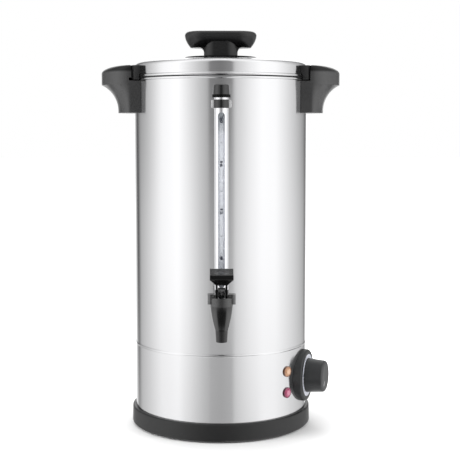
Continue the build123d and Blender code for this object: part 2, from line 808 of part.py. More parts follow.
with BuildPart() as tap_shank:
    with Locations((0, -gauge_r, shank_z - socket_r)):
        Cylinder(socket_r, socket_r + socket_h, align=UPWARD)
    fillet(tap_shank.faces().sort_by(Axis.Z)[0].edges(), 3.0)
    with Locations(radial_plane(0, shank_z, wall_in_r - shank_in)):
        Cylinder(shank_r, thread_end_r - wall_in_r + shank_in, align=UPWARD)
    with Locations(radial_plane(0, shank_z, flange_out_r)):
        Cylinder(shank_flange_r, shank_flange_t, align=UPWARD)
    with Locations(radial_plane(0, shank_z, gauge_r)):
        Cylinder(shank_hub_r, hub_face_r - gauge_r, align=UPWARD)
    with Locations(radial_plane(0, shank_z, wall_in_r - shank_in)):
        Cylinder(shank_bore_r, thread_end_r - wall_in_r + shank_in, align=UPWARD, mode=Mode.SUBTRACT)
    with Locations((0, -gauge_r, shank_z)):
        Cylinder(feed_bore_r, socket_h, align=UPWARD, mode=Mode.SUBTRACT)
    with Locations((0, -gauge_r, glass_foot_z)):
        Cylinder(glass_r + fit_gap, glass_depth, align=UPWARD, mode=Mode.SUBTRACT)
    with Locations((0, -gauge_r, socket_top_z - seal_well_h)):
        Cylinder(seal_well_r, seal_well_h, align=UPWARD, mode=Mode.SUBTRACT)
save(tap_shank, "tap_shank")

with BuildPart() as shank_seals:
    for start_r in (vessel_r + fit_gap / 2, inner_washer_r - seal_washer_t):
        with BuildSketch(radial_plane(0, shank_z, start_r)):
            Circle(shank_flange_r)
            Circle(shank_r + fit_gap, mode=Mode.SUBTRACT)
        extrude(amount=seal_washer_t)
save(shank_seals, "shank_seals")

with BuildPart() as shank_nut:
    with BuildSketch(radial_plane(0, shank_z, inner_washer_r - seal_washer_t - fit_gap / 2)):
        RegularPolygon(shank_nut_r, 6, major_radius=False)
        Circle(shank_r + fit_gap / 2, mode=Mode.SUBTRACT)
    extrude(amount=-shank_nut_t)
save(shank_nut, "shank_nut")

with BuildPart() as gauge_glass:
    with BuildSketch(Plane.XY.offset(glass_foot_z)):
        with Locations((0, -gauge_r)):
            Circle(glass_r)
            Circle(glass_r - glass_wall, mode=Mode.SUBTRACT)
    extrude(amount=glass_top_z - glass_foot_z)
save(gauge_glass, "gauge_glass")

with BuildPart() as gauge_seals:
    with BuildSketch(Plane.XY.offset(socket_top_z - seal_well_h)):
        with Locations((0, -gauge_r)):
            Circle(seal_well_r - fit_gap / 2)
            Circle(glass_r + fit_gap / 2, mode=Mode.SUBTRACT)
    extrude(amount=seal_well_h - fit_gap)
    with BuildSketch(Plane.XY.offset(glass_top_z)):
        with Locations((0, -gauge_r)):
            Circle(guard_r - guard_wall - fit_gap / 2)
            Circle(glass_r + fit_gap / 2, mode=Mode.SUBTRACT)
    extrude(amount=-seal_well_h)
save(gauge_seals, "gauge_seals")

guard_len = guard_top_z - socket_top_z
slot_len = guard_len - guard_slot_top - guard_slot_foot
with BuildPart() as gauge_guard:
    with BuildSketch(Plane.XY.offset(socket_top_z)):
        with Locations((0, -gauge_r)):
            Circle(guard_r)
            Circle(guard_r - guard_wall, mode=Mode.SUBTRACT)
    extrude(amount=guard_len)
    with BuildSketch(radial_plane(0, socket_top_z + guard_slot_foot + slot_len / 2, gauge_r)):
        SlotOverall(slot_len, guard_slot_w, rotation=90)
    extrude(amount=guard_r + 1, mode=Mode.SUBTRACT)
save(gauge_guard, "gauge_guard")

with BuildPart() as gauge_collar:
    with Locations((0, -gauge_r, collar_top_z - collar_h)):
        Cylinder(collar_r, collar_h, align=UPWARD)
        fillet(gauge_collar.edges().filter_by(GeomType.CIRCLE), 0.6)
        Cylinder(guard_r + fit_gap / 2, collar_h, align=UPWARD, mode=Mode.SUBTRACT)
save(gauge_collar, "gauge_collar")

arm_len = gauge_out - collar_r - fit_gap
stud_len = arm_len - fit_gap
with BuildPart() as gauge_bracket:
    with Locations((0, -gauge_r, stud_z)):
        Cylinder(strap_r, strap_h)
        with Locations((0, -strap_front)):
            Box(
                2 * strap_r,
                2 * strap_r,
                strap_h,
                align=(Align.CENTER, Align.MAX, Align.CENTER),
                mode=Mode.SUBTRACT,
            )
    with BuildSketch(radial_plane(0, stud_z, vessel_r + fit_gap)):
        Rectangle(bracket_arm_w, bracket_arm_h)
    extrude(amount=arm_len)
    with Locations(radial_plane(0, stud_z, vessel_r + fit_gap)):
        Cylinder(bracket_pad_r, bracket_pad_t, align=UPWARD)
    with Locations((0, -gauge_r, stud_z)):
        Cylinder(collar_r + fit_gap / 2, 2 * strap_h, mode=Mode.SUBTRACT)
    with Locations(radial_plane(0, stud_z, vessel_r)):
        Cylinder(stud_r + fit_gap / 2, arm_len, align=UPWARD, mode=Mode.SUBTRACT)
save(gauge_bracket, "gauge_bracket")

with BuildPart() as bracket_screw:
    with Locations(radial_plane(0, stud_z, wall_in_r - fit_gap)):
        Cylinder(2 * stud_r, 1.4 * stud_r, align=(Align.CENTER, Align.CENTER, Align.MAX))
        Cylinder(stud_r, stud_len, align=UPWARD)
save(bracket_screw, "bracket_screw")

with BuildPart() as gauge_cap:
    with Locations((0, -gauge_r, cap_z)):
        Cylinder(cap_ring_r, cap_ring_h, align=UPWARD)
    with BuildSketch(Plane.XY.offset(cap_z)):
        with Locations((0, -gauge_r)):
            with PolarLocations(cap_ring_r + 0.3, cap_notches):
                Circle(0.9)
    extrude(amount=cap_ring_h, mode=Mode.SUBTRACT)
    with Locations((0, -gauge_r, cap_z + cap_ring_h)):
        Cone(cap_r, cap_top_r, cap_h, align=UPWARD)
    fillet(gauge_cap.faces().sort_by(Axis.Z)[-1].edges(), 1.5)
    with Locations((0, -gauge_r, cap_z)):
        Cylinder(guard_r + fit_gap / 2, cap_overlap, align=UPWARD, mode=Mode.SUBTRACT)
        Cylinder(glass_r + fit_gap, cap_overlap + 4, align=UPWARD, mode=Mode.SUBTRACT)
save(gauge_cap, "gauge_cap")

# ================================================================== tap
tap_axis = Axis((0, -tap_r, 0), (0, 0, 1))
cavity_r = neck_r + fit_gap
roof_under_z = roof_z - bonnet_roof
cup_z = seat_z + seat_lip_h + seat_gap
cam_h = pin_rise - fit_gap
lift_rate = stem_lift / radians(lever_tilt)     # mm of lift for each radian of the lever

with BuildPart() as tap_body:
    with BuildSketch(Plane.XZ.offset(tap_r)) as section:
        neck_z = spout_tip_z + spout_h
        with BuildLine():
            Line((spout_tip_r, spout_tip_z), (spout_neck_r, neck_z))
            cone_mid = ((spout_neck_r + cone_r) / 2 + cone_bulge, (neck_z + cone_top_z) / 2)
            ThreePointArc((spout_neck_r, neck_z), cone_mid, (cone_r, cone_top_z))
            Polyline(
                (cone_r, cone_top_z),
                (neck_r, cone_top_z),
                (neck_r, cone_top_z + neck_h),
                (chamber_r, cone_top_z + neck_h),
                (chamber_r, seat_z),
                (spout_bore_r + 1.5, seat_z),
                (spout_bore_r + 1.0, seat_z + seat_lip_h),
                (spout_bore_r, seat_z + seat_lip_h),
                (spout_bore_r, spout_tip_z),
                (spout_tip_r, spout_tip_z),
            )
        make_face()
        fillet(nearest(section.vertices(), spout_neck_r, neck_z), 8.0)
        fillet(nearest(section.vertices(), spout_tip_r, spout_tip_z), 0.8)
    revolve(axis=tap_axis)
    with Locations(radial_plane(0, shank_z, hub_face_r + fit_gap)):
        Cylinder(shank_hub_r, tap_r - chamber_r - hub_face_r, align=UPWARD)
    with Locations((0, -tap_r, seat_z)):
        Cylinder(chamber_r, cone_top_z - seat_z, align=UPWARD, mode=Mode.SUBTRACT)
    with Locations(radial_plane(0, shank_z, hub_face_r)):
        Cylinder(shank_r + fit_gap / 2, tap_r - hub_face_r, align=UPWARD, mode=Mode.SUBTRACT)
save(tap_body, "tap_body")

with BuildPart() as tap_bonnet:
    with Locations((0, -tap_r, cone_top_z)):
        Cylinder(bonnet_r, bonnet_h, align=UPWARD)
    fillet(tap_bonnet.faces().sort_by(Axis.Z)[-1].edges(), 1.2)
    with Locations((0, -tap_r, roof_z)):
        Cone(stem_guide_r, stem_guide_r - 2, stem_guide_h, align=UPWARD)
    with BuildSketch(Plane.XY.offset(cone_top_z + ear_foot)) as ears:
        with Locations((0, -tap_r)):
            Rectangle(2 * ear_r, 2 * ear_half_w)
            Rectangle(2 * ear_inner, 2 * ear_half_w, mode=Mode.SUBTRACT)
        fillet(ears.vertices(), 1.5)
        with Locations((0, -tap_r)):
            with GridLocations(2 * ear_notch_x, 2 * ear_half_w, 2, 2):
                Circle(ear_notch_r, mode=Mode.SUBTRACT)
    extrude(amount=ear_h)
    with Locations((0, -tap_r, cone_top_z)):
        Cylinder(cavity_r, bonnet_h - bonnet_roof, align=UPWARD, mode=Mode.SUBTRACT)
        Cylinder(stem_r + run_gap, bonnet_h + stem_guide_h, align=UPWARD, mode=Mode.SUBTRACT)
save(tap_bonnet, "tap_bonnet")

with BuildPart() as tap_seat_cup:
    with Locations((0, -tap_r, cup_z)):
        Cylinder(cup_r, cup_t, align=UPWARD)
        fillet(tap_seat_cup.edges().filter_by(GeomType.CIRCLE), 0.6)
    with Locations((0, -tap_r, cup_z + cup_t - cup_socket)):
        Cylinder(stem_r + fit_gap / 2, cup_socket, align=UPWARD, mode=Mode.SUBTRACT)
save(tap_seat_cup, "tap_seat_cup")

stem_foot_z = cup_z + cup_t - cup_socket + fit_gap / 2
with BuildPart() as tap_stem:
    with Locations((0, -tap_r, stem_foot_z)):
        Cylinder(stem_r, pin_z - stem_foot_z, align=UPWARD)
    with Locations(Location((0, -tap_r, pin_z), (0, 90, 0))):
        Cylinder(eye_r, eye_w)
        Cylinder(pin_r + run_gap, eye_w, mode=Mode.SUBTRACT)
save(tap_stem, "tap_stem")

spring_z = cup_z + cup_t + spring_wire_r + fit_gap / 2
spring_len = roof_under_z - fit_gap / 2 - spring_wire_r - spring_z
with BuildPart() as tap_spring:
    with BuildLine() as coil:
        Helix(spring_len / spring_turns, spring_len, spring_coil_r, center=(0, -tap_r, spring_z))
    with BuildSketch(Plane(origin=coil.line @ 0, z_dir=coil.line % 0)):
        Circle(spring_wire_r)
    sweep(is_frenet=True)
save(tap_spring, "tap_spring")

with BuildPart() as lever_pin:
    with Locations(Location((0, -tap_r, pin_z), (0, 90, 0))):
        Cylinder(pin_r, neck_w - fit_gap)
save(lever_pin, "lever_pin")

# Side view of the lever: x runs forward from the pin and y up. The heel is the curve on which the
# lever rolls over the bonnet, so the pin rises by the same amount for each degree of tilt.
lever_side = Plane(origin=(0, -tap_r, pin_z), x_dir=(0, -1, 0), z_dir=(-1, 0, 0))
heel_steps = 6


def heel_point(turn):
    """Point of the heel that bears on the bonnet when the lever is tilted by an angle in radians."""
    height = cam_h + lift_rate * turn
    return (height * sin(turn) + lift_rate * cos(turn), lift_rate * sin(turn) - height * cos(turn))


heel = [heel_point(radians(lever_tilt) * i / heel_steps) for i in range(heel_steps + 1)]
toe_x, toe_y = heel[-1]
with BuildPart() as tap_lever:
    with BuildSketch(lever_side):
        with BuildLine():
            Line((-cheek_back, -cam_h), heel[0])
            Spline(heel)
            Polyline((toe_x, toe_y), (toe_x + 0.3, toe_y + 2), (6.6, 1.0), (5.8, 5.5))
            Spline(
                (5.8, 5.5),
                (9.5, lip_foot - 5.8),
                (paddle_reach - 1.5, lip_foot),
                tangents=((0.1, 1), (1, 0.15)),
            )
            Polyline(
                (paddle_reach - 1.5, lip_foot),
                (paddle_reach, lip_foot + 1.5),
                (paddle_reach, lip_top - 1),
                (paddle_reach - 1, lip_top),
            )
            Spline(
                (paddle_reach - 1, lip_top),
                (13.0, lip_top + 0.6),
                (2.5, paddle_top),
                tangents=((-1, -0.15), (-1, 0.75)),
            )
            Spline(
                (2.5, paddle_top),
                (-0.6, paddle_top - 1.2),
                (-4.2, paddle_top - 11.5),
                (-6.0, cheek_top),
                (-cheek_back, -cam_h),
                tangents=((-1, 0.35), (0.1, -1)),
            )
        make_face()
    extrude(amount=paddle_w / 2, both=True)
    with BuildSketch(Plane.XZ.offset(tap_r)) as front:
        with BuildLine():
            Polyline(
                (0, pin_z - 2 * cam_h),
                (neck_w / 2, pin_z - 2 * cam_h),
                (neck_w / 2, pin_z + neck_top),
                (paddle_w / 2, pin_z + paddle_foot),
                (paddle_w / 2, pin_z + 2 * paddle_top),
                (0, pin_z + 2 * paddle_top),
            )
            mirror(about=Plane.YZ)
        make_face()
        for side in (-1, 1):
            fillet(nearest(front.vertices(), side * neck_w / 2, pin_z + neck_top), 3.0)
            fillet(nearest(front.vertices(), side * paddle_w / 2, pin_z + paddle_foot), 3.0)
    extrude(amount=2 * paddle_top, both=True, mode=Mode.INTERSECT)
    with Locations((0, -tap_r, pin_z + cheek_top)):
        Box(
            cheek_gap,
            2 * paddle_reach,
            cheek_top + 2 * cam_h,
            align=(Align.CENTER, Align.CENTER, Align.MAX),
            mode=Mode.SUBTRACT,
        )
    with Locations(Location((0, -tap_r, pin_z), (0, 90, 0))):
        Cylinder(pin_r + fit_gap / 10, paddle_w, mode=Mode.SUBTRACT)
save(tap_lever, "tap_lever")

# ================================================================== thermostat
dial_face_r = vessel_r + bezel_out
ring_front_r = dial_face_r - dial_ring_sink

with BuildPart() as dial_bezel:
    with Locations(radial_plane(dial_azimuth, dial_z, vessel_r - bezel_sink)):
        Cylinder(bezel_r, bezel_sink + bezel_out, align=UPWARD)
    front_axis = Axis((0, 0, dial_z), radial_plane(dial_azimuth, 0, 1).z_dir)
    fillet(dial_bezel.faces().sort_by(front_axis)[-1].edges(), 3.5)
    with BuildSketch(radial_plane(dial_azimuth, dial_z, dial_face_r)):
        Circle(dial_ring_r + fit_gap / 2)
        Circle(dial_ring_r - dial_ring_w - fit_gap / 2, mode=Mode.SUBTRACT)
    extrude(amount=-(dial_ring_sink + dial_ring_t), mode=Mode.SUBTRACT)
    with Locations((0, 0, dial_z - 2 * bezel_r)):
        Cylinder(vessel_r + fit_gap, 4 * bezel_r, align=UPWARD, mode=Mode.SUBTRACT)
    with BuildSketch(radial_plane(dial_azimuth, dial_z, dial_face_r)):
        Circle(spindle_boss_r + fit_gap)
        with GridLocations(2 * stat_screw_out, 0, 2, 1):
            Circle(stat_screw_r + screw_gap)
    extrude(amount=-2 * bezel_out, mode=Mode.SUBTRACT)
    with BuildSketch(radial_plane(dial_azimuth, dial_z, dial_face_r)):
        with GridLocations(2 * stat_screw_out, 0, 2, 1):
            Circle(2 * stat_screw_r + screw_gap)
    extrude(amount=-(stat_screw_head_h + fit_gap), mode=Mode.SUBTRACT)
save(dial_bezel, "dial_bezel")

with BuildPart() as dial_ring:
    with BuildSketch(radial_plane(dial_azimuth, dial_z, ring_front_r)):
        Circle(dial_ring_r)
        Circle(dial_ring_r - dial_ring_w, mode=Mode.SUBTRACT)
    extrude(amount=-dial_ring_t)
save(dial_ring, "dial_ring")

with BuildPart() as dial_knob:
    with Locations(radial_plane(dial_azimuth, dial_z, dial_face_r + knob_gap)):
        Cone(knob_r, knob_tip_r, dial_knob_h, align=UPWARD)
    fillet(dial_knob.faces().sort_by(front_axis)[-1].edges(), knob_shoulder)
    with BuildSketch(radial_plane(dial_azimuth, dial_z, dial_face_r + knob_gap)):
        Circle(spindle_r + fit_gap / 2)
    extrude(amount=spindle_grip + fit_gap, mode=Mode.SUBTRACT)
save(dial_knob, "dial_knob")

with BuildPart() as dial_spindle:
    with BuildSketch(radial_plane(dial_azimuth, dial_z, vessel_r - spindle_in)):
        Circle(spindle_r)
    extrude(amount=spindle_in + bezel_out + knob_gap + spindle_grip)
save(dial_spindle, "dial_spindle")

stat_front_r = sqrt(wall_in_r**2 - stat_half_w**2) - fit_gap / 2
stat_plate_sink = vessel_r - stat_front_r
with BuildPart() as thermostat:
    with BuildSketch(radial_plane(dial_azimuth, dial_z, stat_front_r)):
        RectangleRounded(2 * stat_half_w, 2 * stat_half_h, 3)
    extrude(amount=-stat_plate_t)
    with BuildSketch(radial_plane(dial_azimuth, dial_z, stat_front_r - stat_plate_t)):
        Circle(stat_body_r)
    extrude(amount=-stat_depth)
    with BuildSketch(radial_plane(dial_azimuth, dial_z, stat_front_r)):
        Circle(spindle_boss_r)
    extrude(amount=stat_plate_sink + spindle_boss_out)
    with BuildSketch(radial_plane(dial_azimuth, dial_z, vessel_r + spindle_boss_out)):
        Circle(spindle_r + run_gap)
    extrude(amount=-(spindle_boss_out + spindle_in + free_gap), mode=Mode.SUBTRACT)
    with BuildSketch(radial_plane(dial_azimuth, dial_z, stat_front_r)):
        with GridLocations(2 * stat_screw_out, 0, 2, 1):
            Circle(stat_screw_r + fit_gap / 2)
    extrude(amount=-(stat_plate_t + 4), mode=Mode.SUBTRACT)
save(thermostat, "thermostat")

with BuildPart() as dial_screws:
    seat = radial_plane(dial_azimuth, dial_z, dial_face_r - stat_screw_head_h - fit_gap / 2)
    with BuildSketch(seat):
        with GridLocations(2 * stat_screw_out, 0, 2, 1):
            Circle(2 * stat_screw_r)
    extrude(amount=stat_screw_head_h)
    with BuildSketch(seat):
        with GridLocations(2 * stat_screw_out, 0, 2, 1):
            Circle(stat_screw_r)
    extrude(amount=-(bezel_out + stat_plate_sink - stat_screw_head_h + stat_plate_t + 2))
save(dial_screws, "dial_screws")

# ================================================================== lamps
lamp_levels = (("lamp_amber", lamp_upper_z), ("lamp_red", lamp_lower_z))
lamp_seat_r = vessel_r + fit_gap / 2

for lamp_name, lamp_z in lamp_levels:
    with BuildPart() as lamp:
        with Locations(radial_plane(lamp_azimuth, lamp_z, lamp_seat_r)):
            Cylinder(lamp_r, lamp_rim_t, align=UPWARD)
        with Locations(radial_plane(lamp_azimuth, lamp_z, lamp_seat_r + lamp_rim_t)):
            Cone(lamp_barrel_r, lamp_barrel_r - 1.4, lamp_dome_h, align=UPWARD)
        lamp_axis = Axis((0, 0, lamp_z), radial_plane(lamp_azimuth, 0, 1).z_dir)
        fillet(lamp.faces().sort_by(lamp_axis)[-1].edges(), 1.2)
        with BuildSketch(radial_plane(lamp_azimuth, lamp_z, lamp_seat_r)):
            Circle(lamp_barrel_r)
        extrude(amount=-lamp_barrel_len)
        with BuildSketch(radial_plane(lamp_azimuth, lamp_z, lamp_seat_r - lamp_barrel_len)):
            with GridLocations(2 * lamp_tab_x, 0, 2, 1):
                Rectangle(lamp_tab_t, lamp_tab_w)
        extrude(amount=-lamp_tab_len)
    save(lamp, lamp_name)

lamp_nut_front_r = sqrt(wall_in_r**2 - lamp_nut_r**2) - fit_gap / 2
with BuildPart() as lamp_nuts:
    for lamp_name, lamp_z in lamp_levels:
        with BuildSketch(radial_plane(lamp_azimuth, lamp_z, lamp_nut_front_r)):
            RegularPolygon(lamp_nut_r, 6)
            Circle(lamp_barrel_r + fit_gap / 2, mode=Mode.SUBTRACT)
        extrude(amount=-lamp_nut_t)
save(lamp_nuts, "lamp_nuts")

# ================================================================== heater
spreader_z = floor_z - sheet - spreader_t
element_z = spreader_z - tube_r - fit_gap / 4
clamp_z = element_z - tube_r - fit_gap / 4
stud_foot_z = clamp_z - clamp_t - clamp_nut_h - clamp_stud_end

with BuildPart() as heat_spreader:
    with Locations((0, 0, spreader_z)):
        Cylinder(spreader_r, spreader_t, align=UPWARD)
    with BuildSketch(Plane.XY.offset(stud_foot_z)):
        with PolarLocations(clamp_stud_pcd_r, 3):
            Circle(clamp_stud_r)
    extrude(amount=spreader_z - stud_foot_z)
save(heat_spreader, "heat_spreader")


def leg_line(turn, sense):
    """Corner points of one leg of the element: it bends down from the ring and runs straight."""
    angle = radians(turn)
    start = Vector(element_r * cos(angle), element_r * sin(angle), element_z)
    ahead = Vector(-sin(angle), cos(angle), 0) * sense
    bend = element_bend * (1 - cos(radians(45)))
    middle = start + ahead * (element_bend * sin(radians(45))) - Vector(0, 0, bend)
    foot = start + ahead * element_bend - Vector(0, 0, element_bend)
    return start, middle, foot, foot - Vector(0, 0, element_leg - element_bend)


leg_turns = (90 + element_gap_angle / 2, 90 - element_gap_angle / 2)
with BuildPart() as heating_element:
    with BuildLine() as tube_path:
        start, middle, foot, end = leg_line(leg_turns[0], -1)
        Line(end, foot)
        ThreePointArc(foot, middle, start)
        with BuildLine(Plane.XY.offset(element_z)):
            CenterArc((0, 0), element_r, leg_turns[0], 360 - element_gap_angle)
        start, middle, foot, end = leg_line(leg_turns[1], 1)
        ThreePointArc(start, middle, foot)
        Line(foot, end)
    with BuildSketch(Plane(origin=tube_path.line @ 0, z_dir=tube_path.line % 0)):
        Circle(tube_r)
    sweep()
save(heating_element, "heating_element")

with BuildPart() as element_clamp:
    with BuildSketch(Plane.XY.offset(clamp_z)):
        Circle(clamp_r)
        Circle(clamp_hole_r, mode=Mode.SUBTRACT)
        with PolarLocations(clamp_stud_pcd_r, 3):
            Circle(clamp_stud_r + screw_gap, mode=Mode.SUBTRACT)
        with Locations((0, element_r)):
            Rectangle(element_leg * 2, 4 * tube_r, mode=Mode.SUBTRACT)
    extrude(amount=-clamp_t)
save(element_clamp, "element_clamp")

with BuildPart() as clamp_nuts:
    with BuildSketch(Plane.XY.offset(clamp_z - clamp_t)):
        with PolarLocations(clamp_stud_pcd_r, 3):
            RegularPolygon(1.7 * clamp_stud_r, 6, major_radius=False)
            Circle(clamp_stud_r + fit_gap / 2, mode=Mode.SUBTRACT)
    extrude(amount=-clamp_nut_h)
save(clamp_nuts, "clamp_nuts")

# ================================================================== cut-out, terminals, gland
button_top_z = button_z + button_len
with BuildPart() as thermal_cutout:
    with Locations((cutout_x, cutout_y, plate_top_z)):
        Cylinder(cutout_r, cutout_h, align=UPWARD)
        fillet(thermal_cutout.faces().sort_by(Axis.Z)[-1].edges(), 1.5)
        Cylinder(cutout_nose_r, cutout_nose_len, align=(Align.CENTER, Align.CENTER, Align.MAX))
    with Locations((cutout_x, cutout_y, plate_top_z - cutout_nose_len)):
        Cylinder(
            button_r + run_gap,
            button_top_z + button_travel + free_gap - plate_top_z + cutout_nose_len,
            align=UPWARD,
            mode=Mode.SUBTRACT,
        )
save(thermal_cutout, "thermal_cutout")

with BuildPart() as cutout_nut:
    with BuildSketch(Plane.XY.offset(ledge_z)):
        with Locations((cutout_x, cutout_y)):
            RegularPolygon(cutout_nut_r, 6, major_radius=False)
            Circle(cutout_nose_r + fit_gap / 2, mode=Mode.SUBTRACT)
    extrude(amount=-cutout_nut_t)
save(cutout_nut, "cutout_nut")

with BuildPart() as reset_button:
    with Locations((cutout_x, cutout_y, button_z)):
        Cylinder(button_r, button_len, align=UPWARD)
    fillet(reset_button.faces().sort_by(Axis.Z)[0].edges(), 0.8)
save(reset_button, "reset_button")

terminal_pitch = terminal_l / terminal_screws
with BuildPart() as terminal_block:
    with BuildSketch(Plane.XY.offset(plate_top_z)):
        with Locations((terminal_x, terminal_y)):
            Rectangle(terminal_l, terminal_w)
    extrude(amount=terminal_h)
    fillet(terminal_block.edges().filter_by(Axis.Z), 1.5)
    with BuildSketch(Plane.XY.offset(plate_top_z + terminal_h)):
        with Locations((terminal_x, terminal_y)):
            with GridLocations(terminal_pitch, 0, terminal_screws, 1):
                Circle(terminal_well_r)
    extrude(amount=-terminal_well_h, mode=Mode.SUBTRACT)
    with BuildSketch(Plane.XZ.offset(-(terminal_y + terminal_w / 2))):
        with Locations((terminal_x, plate_top_z + wire_hole_rise)):
            with GridLocations(terminal_pitch, 0, terminal_screws, 1):
                Circle(wire_hole_r)
    extrude(amount=wire_hole_depth, mode=Mode.SUBTRACT)
save(terminal_block, "terminal_block")

with BuildPart() as terminal_screw_set:
    with BuildSketch(Plane.XY.offset(plate_top_z + terminal_h - terminal_well_h)):
        with Locations((terminal_x, terminal_y)):
            with GridLocations(terminal_pitch, 0, terminal_screws, 1):
                Circle(terminal_well_r - fit_gap / 2)
    extrude(amount=terminal_screw_h)
save(terminal_screw_set, "terminal_screw_set")

rear_plate_in_r = vessel_r + fit_gap / 2
rear_plate_out_r = rear_plate_in_r + rear_plate_t
with BuildPart() as gland_plate:
    with Locations((0, 0, gland_z)):
        Cylinder(rear_plate_out_r, rear_plate_h)
        Cylinder(rear_plate_in_r, rear_plate_h, mode=Mode.SUBTRACT)
    with BuildSketch(radial_plane(180, gland_z, vessel_r / 2)):
        RectangleRounded(rear_plate_w, rear_plate_h, 5)
        Circle(gland_thread_r + fit_gap, mode=Mode.SUBTRACT)
    extrude(amount=vessel_r, mode=Mode.INTERSECT)
    for turn in (-rear_rivet_angle, rear_rivet_angle):
        with BuildSketch(radial_plane(180 + turn, gland_z, vessel_r)):
            with GridLocations(0, 2 * rear_rivet_rise, 1, 2):
                Circle(rear_rivet_r + screw_gap)
        extrude(amount=5, mode=Mode.SUBTRACT)
save(gland_plate, "gland_plate")

with BuildPart() as rear_rivets:
    for turn in (-rear_rivet_angle, rear_rivet_angle):
        with BuildSketch(radial_plane(180 + turn, gland_z, rear_plate_out_r + fit_gap / 2)):
            with GridLocations(0, 2 * rear_rivet_rise, 1, 2):
                Circle(2 * rear_rivet_r)
        extrude(amount=0.7 * rear_rivet_r, taper=20)
        with BuildSketch(radial_plane(180 + turn, gland_z, rear_plate_out_r + fit_gap / 2)):
            with GridLocations(0, 2 * rear_rivet_rise, 1, 2):
                Circle(rear_rivet_r)
        extrude(amount=-(rear_plate_t + sheet + 2 * fit_gap))
        with BuildSketch(radial_plane(180 + turn, gland_z, wall_in_r - fit_gap)):
            with GridLocations(0, 2 * rear_rivet_rise, 1, 2):
                Circle(1.5 * rear_rivet_r)
        extrude(amount=-0.8 * rear_rivet_r)
save(rear_rivets, "rear_rivets")

gland_seat_r = rear_plate_out_r + fit_gap / 2
gland_len = gland_out + gland_in
with BuildPart() as cable_gland:
    with Locations(radial_plane(180, gland_z, gland_seat_r)):
        Cylinder(1.4 * gland_r, gland_flange_t, align=UPWARD)
        Cylinder(gland_r, gland_out, align=UPWARD)
    fillet(cable_gland.faces().sort_by(Axis.Y)[-1].edges(), 2.0)
    with Locations(radial_plane(180, gland_z, gland_seat_r)):
        Cylinder(gland_thread_r, gland_in, align=(Align.CENTER, Align.CENTER, Align.MAX))
    with Locations(radial_plane(180, gland_z, gland_seat_r - gland_in)):
        Cylinder(gland_bore_r, gland_len, align=UPWARD, mode=Mode.SUBTRACT)
save(cable_gland, "cable_gland")

gland_nut_front_r = sqrt(rear_plate_in_r**2 - gland_nut_r**2) - fit_gap / 2
with BuildPart() as gland_nut:
    with BuildSketch(radial_plane(180, gland_z, gland_nut_front_r)):
        RegularPolygon(gland_nut_r, 6)
        Circle(gland_thread_r + fit_gap / 2, mode=Mode.SUBTRACT)
    extrude(amount=-gland_nut_t)
save(gland_nut, "gland_nut")
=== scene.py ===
from math import cos, pi, radians, sin

import bpy
import bmesh
from mathutils import Matrix, Vector


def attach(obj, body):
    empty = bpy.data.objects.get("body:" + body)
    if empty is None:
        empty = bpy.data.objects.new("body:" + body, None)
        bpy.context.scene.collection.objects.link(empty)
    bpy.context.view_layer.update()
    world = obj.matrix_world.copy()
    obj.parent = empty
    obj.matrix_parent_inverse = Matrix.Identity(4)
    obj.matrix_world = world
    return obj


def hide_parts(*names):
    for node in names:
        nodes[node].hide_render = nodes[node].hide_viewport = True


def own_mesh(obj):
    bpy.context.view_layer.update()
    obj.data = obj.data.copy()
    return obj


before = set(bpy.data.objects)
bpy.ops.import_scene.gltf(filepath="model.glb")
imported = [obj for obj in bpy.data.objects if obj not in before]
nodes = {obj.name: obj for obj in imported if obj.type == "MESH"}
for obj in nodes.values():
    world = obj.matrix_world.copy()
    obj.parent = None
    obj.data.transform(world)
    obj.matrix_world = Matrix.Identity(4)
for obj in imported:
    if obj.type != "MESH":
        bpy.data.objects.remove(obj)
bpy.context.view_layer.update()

scene = bpy.context.scene

# ------------------------------------------------------------------ camera
IMAGE = 460                 # picture width and height
FOCAL = 1087.0              # focal length in pixels
SENSOR = 36.0               # sensor width in millimetres
CAMERA_AT = (-0.009, -1.7344, 0.4755)
CAMERA_PITCH = 5.52         # degrees down
CAMERA_YAW = 0.78           # degrees to the right


def link_new(name, data):
    """New object in the scene."""
    obj = bpy.data.objects.new(name, data)
    scene.collection.objects.link(obj)
    return obj


camera_data = bpy.data.cameras.new("camera")
camera_data.sensor_width = SENSOR
camera_data.lens = FOCAL * SENSOR / IMAGE
camera_data.clip_start = 0.05
camera_data.clip_end = 50.0
camera = link_new("camera", camera_data)
camera.location = CAMERA_AT
camera.rotation_euler = (radians(90 - CAMERA_PITCH), 0, radians(-CAMERA_YAW))
scene.camera = camera


# ------------------------------------------------------------------ node tools
MIX_SOCKETS = {"RGBA": (6, 7, 2), "FLOAT": (2, 3, 0)}   # a Mix node's two inputs and its output


def feed(tree, socket, value):
    """Gives an input a number, a vector or a colour, or links an output to it."""
    if isinstance(value, bpy.types.NodeSocket):
        tree.links.new(value, socket)
    else:
        socket.default_value = (*value[:3], 1) if socket.type == "RGBA" else value


def add(tree, kind, **values):
    """New node, with values for its properties and its inputs."""
    made = tree.nodes.new(kind)
    for key, value in values.items():
        if key in made.inputs:
            feed(tree, made.inputs[key], value)
        else:
            setattr(made, key, value)
    return made


def math_node(tree, operation, *values):
    """Arithmetic on numbers and outputs."""
    made = add(tree, "ShaderNodeMath", operation=operation)
    for socket, value in zip(made.inputs, values):
        feed(tree, socket, value)
    return made.outputs[0]


def hypotenuse(tree, a, b):
    """Length of the third side of a triangle with sides a and b at a right angle."""
    return math_node(tree, "SQRT", math_node(tree, "ADD", math_node(tree, "MULTIPLY", a, a),
                                             math_node(tree, "MULTIPLY", b, b)))


def spread(tree, value, low, high, start=0.3, stop=0.7, kind="LINEAR"):
    """Maps a range of a value, which for noise is 0.3 to 0.7, to another range."""
    limits = {"From Min": start, "From Max": stop, "To Min": low, "To Max": high}
    made = add(tree, "ShaderNodeMapRange", interpolation_type=kind, Value=value, **limits)
    return made.outputs[0]


